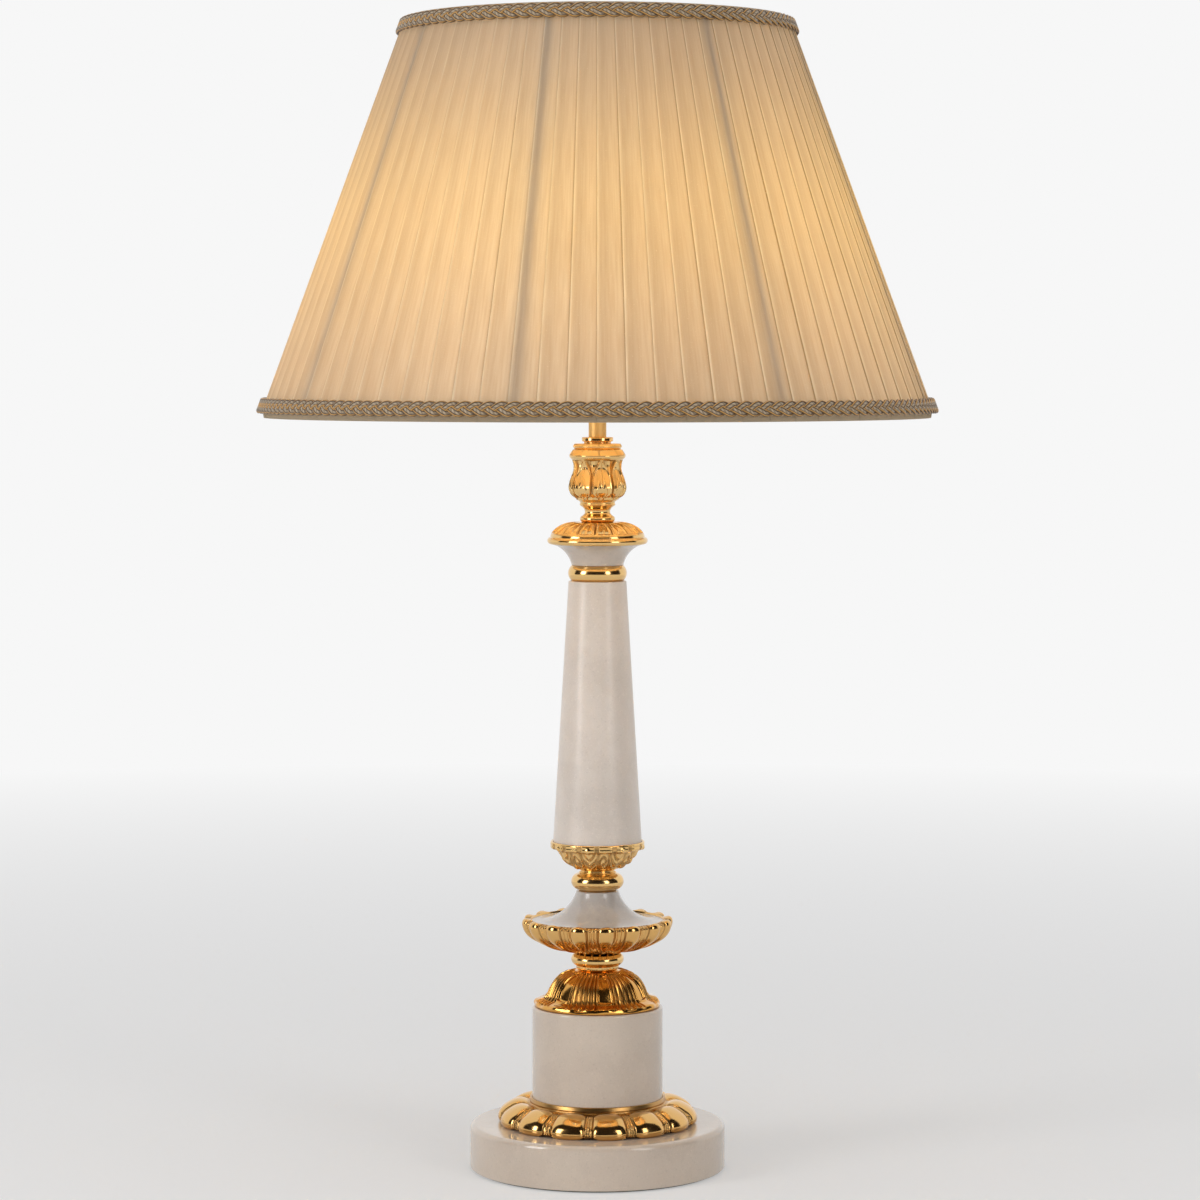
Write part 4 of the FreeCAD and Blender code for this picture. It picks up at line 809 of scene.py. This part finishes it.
def make_castings():
    """The six castings, from the foot up."""
    face = np.concatenate([
        flowing([(65.4, BASE_TOP), (66.8, 31.3), (67.5, 33.4), (66.9, 36.5), (64.9, 39.5),
                 (61.4, 42.2), (57.2, 44.4), (53.4, 45.3), (50.2, 45.0), (47.9, 44.2),
                 (46.4, 43.9)], 9),
        [(45.7, 44.1), (45.6, 44.8), (45.9, 45.1), (45.9, 45.6), (45.6, 45.9), (45.6, 47.5),
         (45.4, 47.8), (45.1, RING_TOP)]])
    back = [(44.4, RING_TOP), (44.3, DRUM_FOOT), (32.2, DRUM_FOOT), (32.2, 37.0), (45.6, 37.0),
            (60.3, 33.0), (60.3, BASE_TOP)]
    make_casting("gadrooned_ring", "gadroon_ring", DEEP_SHADED_GILT, face, back, 672, ring_relief)
    face = np.concatenate([
        flowing([(41.4, DRUM_TOP), (42.4, 109.2), (42.8, 110.8), (41.9, 112.5), (39.0, 113.5),
                 (36.0, 114.6), (34.1, 116.6), (33.0, 119.4), (31.0, 123.2), (28.0, 127.0),
                 (23.6, 130.2), (18.6, 132.2), (14.6, 132.8)], 9),
        [(13.9, 132.9), (13.8, 133.3), (13.0, 133.4), (12.9, DOME_TOP)]])
    back = [(GILT_BORE, DOME_TOP), (GILT_BORE, 128.2), (18.0, 126.4), (27.0, 120.0),
            (29.9, 112.0), (29.9, DRUM_TOP)]
    make_casting("dome_casting", "dome_rosette", DOME_SHADED_GILT, face, back, 640, dome_relief)
    face = flowing([
        (15.6, DISH_FOOT), (16.2, 145.4), (18.6, 146.0), (24.6, 146.9), (32.6, 148.7),
        (39.6, 151.6), (45.3, 155.5), (49.0, 160.2), (50.3, 163.8), (50.3, 165.7), (49.7, 167.0),
        (48.6, DISH_TOP)], 9)
    back = [(45.0, DISH_TOP), (44.75, 167.3), (44.75, SPOOL_FOOT), (GILT_BORE, SPOOL_FOOT),
            (GILT_BORE, DISH_FOOT)]
    make_casting("fluted_dish", "dish", DEEP_SHADED_GILT, face, back, 704, dish_relief)
    face = flowing([
        (12.4, CUP_FOOT), (12.5, 199.3), (11.6, 199.9), (11.9, 200.7), (16.6, 202.4),
        (21.6, 205.4), (25.2, 209.4), (27.4, 213.2), (28.8, 214.8), (31.3, 215.4), (31.8, 216.1),
        (31.8, 217.8), (31.8, 219.4), (31.3, CUP_TOP)], 9)
    back = [(30.4, CUP_TOP), (30.25, 219.8), (30.25, COLUMN_FOOT), (GILT_BORE, COLUMN_FOOT),
            (GILT_BORE, CUP_FOOT)]
    make_casting("leaf_cup_casting", "leaf_cup", GILT, face, back, 640, cup_relief)
    face = np.concatenate([
        bowed((31.4, 420.6), (34.0, 423.2), (31.9, 425.4), 18),
        flowing([(32.0, 425.6), (31.4, 427.6), (28.9, 430.6), (25.0, 433.2), (20.8, 434.8),
                 (17.2, 435.3), (15.0, CAP_TOP)], 7)])
    back = [(GILT_BORE, CAP_TOP), (GILT_BORE, CAPITAL_TOP), (30.0, CAPITAL_TOP)]
    make_casting("petalled_cap", "petal_cap", GILT, face, back, 640, cap_relief)
    face = flowing([
        (10.6, CAP_TOP), (11.8, 437.0), (11.6, 438.8), (9.8, 440.2), (8.7, 441.6), (8.8, 443.6),
        (10.0, 445.4), (11.4, 446.4), (12.1, 447.2), (11.8, 448.6), (12.4, 449.6), (15.6, 451.6),
        (18.6, 454.6), (19.9, 458.3), (19.3, 462.6), (17.6, 467.6), (16.4, 472.0), (16.2, 474.6),
        (17.2, 477.4), (18.8, 479.2), (19.1, 480.6), (18.0, 482.6), (16.8, 484.4)], 6)
    back = [(16.4, TULIP_TOP), (GILT_BORE, TULIP_TOP), (GILT_BORE, CAP_TOP)]
    make_casting("tulip_casting", "tulip", GILT, face, back, 576, tulip_relief)


def make_collar(name, node, seat, top, neck, bead, foot, rim):
    """A turned collar: a fat polished bead between two short necks with fine edges."""
    shoulder = neck + 0.4
    edge = 0.2
    middle = (seat + foot + top - rim) / 2
    bulge = bowed((shoulder, seat + foot), (bead, middle), (shoulder, top - rim), 28)
    outline = np.concatenate([
        [(GILT_BORE, seat), (neck - edge, seat), (neck, seat + edge)], bulge,
        [(neck, top - edge), (neck - edge, top), (GILT_BORE, top)]])
    dress(turned(name, outline), GILT, "gilt", "lamp", node)


def make_turned_gilt():
    """The three collars, the two discs above the tulip and the bare stem tube."""
    make_collar("lower_gilt_collar", "lower_collar", DOME_TOP, DISH_FOOT, 14.3, 17.8, 2.4, 0.6)
    make_collar("middle_gilt_collar", "mid_collar", SPOOL_TOP, CUP_FOOT, 12.6, 17.8, 0.9, 0.6)
    make_collar("upper_gilt_collar", "upper_collar", COLUMN_TOP, CAPITAL_FOOT,
                17.4, 19.9, 0.4, 0.4)
    lower = turned("lower_turned_disc", rounded([
        (GILT_BORE, TULIP_TOP, 0), (15.4, TULIP_TOP, 0.4), (16.8, 486.5, 0.9),
        (15.6, DISC_SEAM, 0.6), (GILT_BORE, DISC_SEAM, 0)]), 192)
    upper = turned("upper_turned_disc", rounded([
        (GILT_BORE, DISC_SEAM, 0), (9.2, DISC_SEAM, 0.2), (9.2, 489.8, 0.2), (10.6, 490.2, 0.4),
        (10.6, STEM_FOOT, 0.6), (GILT_BORE, STEM_FOOT, 0)]), 160)
    stem = turned("bare_stem_tube", rounded([
        (5.2, STEM_FOOT, 0), (6.0, STEM_FOOT, 0.15), (6.0, STEM_TOP, 0.15),
        (5.2, STEM_TOP, 0)]), 128)
    dress(lower, GILT, "gilt", "lamp", "tulip_disc")
    dress(upper, GILT, "gilt", "lamp", "top_disc")
    dress(stem, SATIN_GILT, "gilt", "lamp", "stem_tube")


# Shade

# One pleat's section, from the fold on: the share of the pitch, the shift from the crest, and how
# dull the cloth is there, how pale with painted highlight and how dark with painted shadow
PLEAT = np.array([
    (-0.015, -0.90, 0.9, 0, 1),
    (-0.035, -0.52, 0.9, 0.1, 0.6),
    (-0.03, -0.16, 0.5, 0.8, 0),
    (0, 0, 0.2, 1, 0),
    (0.05, -0.02, 0.8, 0.25, 0),
    (0.12, -0.05, 1, 0, 0),
    (0.22, -0.10, 1, 0, 0),
    (0.34, -0.20, 0.9, 0, 0),
    (0.46, -0.32, 0.5, 0, 0),
    (0.58, -0.44, 0.2, 0, 0),
    (0.70, -0.58, 0.05, 0, 0),
    (0.80, -0.70, 0, 0, 0),
    (0.88, -0.82, 0, 0, 0),
    (0.94, -0.92, 0, 0, 0.25),
    (0.975, -1, 0.3, 0, 0.9)])


def shade_wall(climb):
    """The radius and height of the cover's crests at a share of its slope, from the hem up."""
    return [np.interp(climb, [0, KNEE_SHARE, 1], run) for run in zip(HEM, KNEE, CROWN)]


def make_cover():
    """The pleated cover. Each knife pleat starts at a rounded fold that stands over the one before,
    and falls slowly to the right, so its section is a saw tooth with a soft lip. The folds sway a
    little, no two alike, and the cloth is turned up round the hem."""
    phase, depth, dull, pale, dark = PLEAT.T
    number = np.arange(PLEATS)
    drift = 0.35 * np.sin(number * 1.7) + 0.25 * np.sin(number * 0.61 + 1.0)
    own = 0.2 + 0.2 * np.sin(number * 12.99)
    turn = ((number[:, None] + phase[None, :]) * 360.0 / PLEATS).reshape(-1, 1)
    climb = np.concatenate([[0, 0.006, KNEE_SHARE], np.linspace(0.05, 0.95, 19), [0.98, 1.0]])
    radius, height = shade_wall(climb)
    sway = np.repeat(drift, len(phase))[:, None] * np.sin(math.pi * climb)[None, :] * 0.25
    turned_up = smooth(0.018, 0.006, climb)
    squeeze = (1.0 - 0.35 * climb[None, :]) * (1 - 0.8 * turned_up)
    outer = radius[None, :] + np.tile(depth, PLEATS)[:, None] * squeeze
    inner = np.broadcast_to(radius[::-1] - CLOTH_WALL, outer.shape)
    radii = np.concatenate([outer, inner], axis=1)
    heights = np.concatenate([height, height[::-1]])
    angle = np.radians(turn - 90.0 + np.concatenate([sway, sway[:, ::-1]], axis=1))
    per_degree = 3.9
    slant = 280.0
    up_slope = np.concatenate([climb, climb[::-1]]) * slant
    flat = np.broadcast_arrays(turn * per_degree, up_slope, np.zeros(radii.shape))
    hem = np.broadcast_to(np.concatenate([turned_up, turned_up[::-1]]), radii.shape)
    fill = 1 - hem[:1]
    piece = mesh_from_grid("pleated_cover", round_points(radii, angle, heights), {
        "layers": (0.65 * np.tile(dull, PLEATS) + np.repeat(own, len(phase)))[:, None] * fill,
        # Painted highlight on each fold, painted shadow beside it and where the pleat runs under
        # the next
        "fold": np.tile(pale, PLEATS)[:, None] * fill,
        "crease": np.tile(dark, PLEATS)[:, None] * fill,
        "hem": hem,
        "cloth": np.stack(flat, axis=-1) * MM})
    dress(piece, COVER, "cover", "shade", "shade_cover")


def make_lining():
    """The lining: a smooth cone a little inside the cover."""
    run = [(217.7, 512.6), (218.3, 512.4), (125.2, 774.6), (124.6, 774.4)]
    piece = turned("smooth_lining", run, step=12.0)
    dress(piece, LINING, "lining", "shade", "shade_lining")


def make_braid(name, node, middle_radius, low, high, cycles):
    """A flat plait of three strands round the shade, tilted with its wall. Each strand crosses the
    band on a straight slant and turns back at its edge: its place across is the arcsine of a sine,
    and it goes in and out by a sine of twice that speed, a third of a turn apart. A strand is three
    cords side by side."""
    tilt = math.radians(19.9)
    bend = 0.9
    half_strand = 2.3
    lateral = (high - low) / 2 - 2.0
    steps = cycles * 16
    way = (np.arange(steps) * 2 * math.pi / steps)[:, None]
    over = np.linspace(-1, 1, 25)
    cords = np.abs(np.cos(1.5 * math.pi * over)) ** 0.8
    wide = half_strand * np.concatenate([over, [0.9, -0.9]])
    thick = np.concatenate([0.55 * np.sqrt(1 - over ** 6) + 0.45 * cords, [-0.5, -0.5]])
    thread = np.concatenate([smooth(0.5, 0.62, np.abs(over)), [1, 1]])
    # Painted shade: dark lines between the cords and at the strand's edges
    gaps = np.maximum(hump(np.abs(over), 0.5, 0.15), smooth(0.85, 0.97, np.abs(over)))
    recess = np.concatenate([gaps, [1, 1]])
    for strand in range(3):
        swing = cycles * way + strand * 2 * math.pi / 3
        across = lateral * np.arcsin(bend * np.sin(swing)) / math.asin(bend)
        slant = bend * np.cos(swing) / np.sqrt(1 - (bend * np.sin(swing)) ** 2) / math.asin(bend)
        lift = 0.6 * np.sin(2 * swing)
        lean = np.arctan2(lateral * cycles * slant, middle_radius)
        up = across + wide * np.cos(lean)
        back = -wide * np.sin(lean)
        out = lift + thick
        angle = way - math.pi / 2 + back / middle_radius
        radius = middle_radius + out * math.cos(tilt) - up * math.sin(tilt)
        height = (low + high) / 2 + up * math.cos(tilt) + out * math.sin(tilt)
        # Painted shade: darker where the strand dips below the others
        sunk = 0.7 * smooth(-0.05, -0.5, lift)
        flat = np.broadcast_arrays(way * middle_radius, wide, np.zeros(up.shape))
        piece = mesh_from_grid("%s_strand_%d" % (name, strand + 1),
                               round_points(radius, angle, height),
                               {"thread": np.broadcast_to(thread, up.shape),
                                "recess": np.maximum(recess, sunk),
                                "cloth": np.stack(flat, axis=-1) * MM})
        dress(piece, BRAID, "braid", "shade", *([node] if strand == 0 else []))


# Studio


def make_camera():
    """A level camera in front of the lamp, with its picture shifted down."""
    data = bpy.data.cameras.new("front_camera")
    data.lens = 115.35
    data.sensor_width = 36.0
    data.shift_x = 0.0021
    data.shift_y = -0.2
    data.clip_end = 60.0
    camera = linked("front_camera", data)
    camera.location = (0.0, -2.6, 0.545)
    camera.rotation_euler = (math.radians(90), 0.0, 0.0)
    bpy.context.scene.camera = camera
    bpy.context.scene.view_settings.view_transform = "Standard"


def area_light(name, place, target, width, height, power, colour):
    """A soft box that faces a point."""
    data = bpy.data.lights.new(name, "AREA")
    data.shape = "RECTANGLE"
    data.size = width
    data.size_y = height
    data.energy = power
    data.color = colour
    lamp = linked(name, data)
    lamp.location = place
    x, y, z = (end - start for end, start in zip(target, place))
    pitch = math.atan2(z, math.hypot(x, y))
    lamp.rotation_euler = (math.pi / 2 + pitch, 0, math.atan2(y, x) - math.pi / 2)
    lamp.visible_camera = False
    return lamp


def make_lights():
    """Soft boxes left, right and above, and the bulb's own light."""
    area_light("soft_box_left", (-2.0, -1.25, 1.0), (0, 0, 0.4), 0.8, 1.5, 22, (1, 0.99, 0.99))
    area_light("soft_box_right", (1.5, -1.65, 1.0), (0, 0, 0.4), 0.7, 1.5, 12, (1, 0.98, 0.96))
    top = area_light("top_box", (0, -0.4, 2.6), (0, 0, 0.3), 1.6, 1.6, 12, (1, 0.99, 0.97))
    top.visible_glossy = False
    data = bpy.data.lights.new("bulb_light", "POINT")
    data.energy = 0.5
    data.color = (1.0, 0.86, 0.62)
    data.shadow_soft_size = 0.027
    linked("bulb_light", data).location = (0, 0, BULB_HEIGHT)


def seen_ray(tree):
    """1 for what is seen straight, in metal or through glass, and 0 for light that falls."""
    path = add(tree, "ShaderNodeLightPath").outputs
    mirrored = compute(tree, "MAXIMUM", path["Is Glossy Ray"], path["Is Transmission Ray"])
    return compute(tree, "MAXIMUM", path["Is Camera Ray"], mirrored)


def make_surround():
    """A pale room that gives only a little light."""
    world = bpy.data.worlds.new("pale_surround")
    bpy.context.scene.world = world
    world.use_nodes = True
    tree = world.node_tree
    tree.nodes.clear()
    room = add(tree, "ShaderNodeBackground", {"Color": (0.95, 0.96, 1.0, 1), "Strength": 0.3})
    pale = add(tree, "ShaderNodeBackground", {"Color": (0.93, 0.93, 0.93, 1), "Strength": 1.0})
    both = mixed(tree, seen_ray(tree), room, pale)
    add(tree, "ShaderNodeOutputWorld", {"Surface": both.outputs[0]})


def make_floor():
    """A round pale floor that fades into the surround."""
    sides = 96
    below = -0.0003
    rings = np.array([0.0001, 2.0, 6.0, 40.0])[:, None]
    turn = np.radians(np.arange(sides) * 360.0 / sides)[None, :]
    faces = [(i * sides + j, (i + 1) * sides + j, (i + 1) * sides + (j + 1) % sides,
              i * sides + (j + 1) % sides) for i in range(len(rings) - 1) for j in range(sides)]
    floor = faceted("pale_floor", round_points(rings, turn, below), faces)
    material, tree = new_material("pale_floor_paint")
    away = add(tree, "ShaderNodeVectorMath", {0: where(tree)}, operation="LENGTH")
    share = times(tree, seen_ray(tree), spread(tree, away.outputs["Value"], 0.1, 2.6, 0.4, 1.0))
    matt = add(tree, "ShaderNodeBsdfDiffuse", {"Color": (0.8, 0.8, 0.8, 1)})
    plain = add(tree, "ShaderNodeEmission", {"Color": (0.93, 0.93, 0.93, 1)})
    finish(tree, mixed(tree, share, matt, plain))
    paint(floor, material)


def make_front_card():
    """A dark vault round the front of the stage, which only shows as the dark in polished metal."""
    reach = 3.1
    columns = 31
    rows = 9
    sweep = np.radians(np.linspace(-100, 100, columns) - 90)[None, :]
    rise = np.radians(np.linspace(0, 72, rows))[:, None]
    points = round_points(np.cos(rise), sweep, np.sin(rise)) * reach
    faces = [(columns * j + i, columns * j + i + 1, columns * (j + 1) + i + 1,
              columns * (j + 1) + i) for j in range(rows - 1) for i in range(columns - 1)]
    card = faceted("front_card", points, faces)
    material, tree = new_material("dark_studio_card")
    finish(tree, add(tree, "ShaderNodeBsdfDiffuse", {"Color": (0.05, 0.04, 0.035, 1)}))
    paint(card, material)
    card.visible_camera = False
    card.visible_diffuse = False
    card.visible_shadow = False


make_camera()
finish_cad_nodes()
make_stones()
make_castings()
make_turned_gilt()
make_cover()
make_lining()
make_braid("bottom_plait", "bottom_braid", 227.1, 509.3, 519.8, 58)
make_braid("top_plait", "top_braid", 133.6, 764.7, 775.2, 34)
make_lights()
make_surround()
make_floor()
make_front_card()
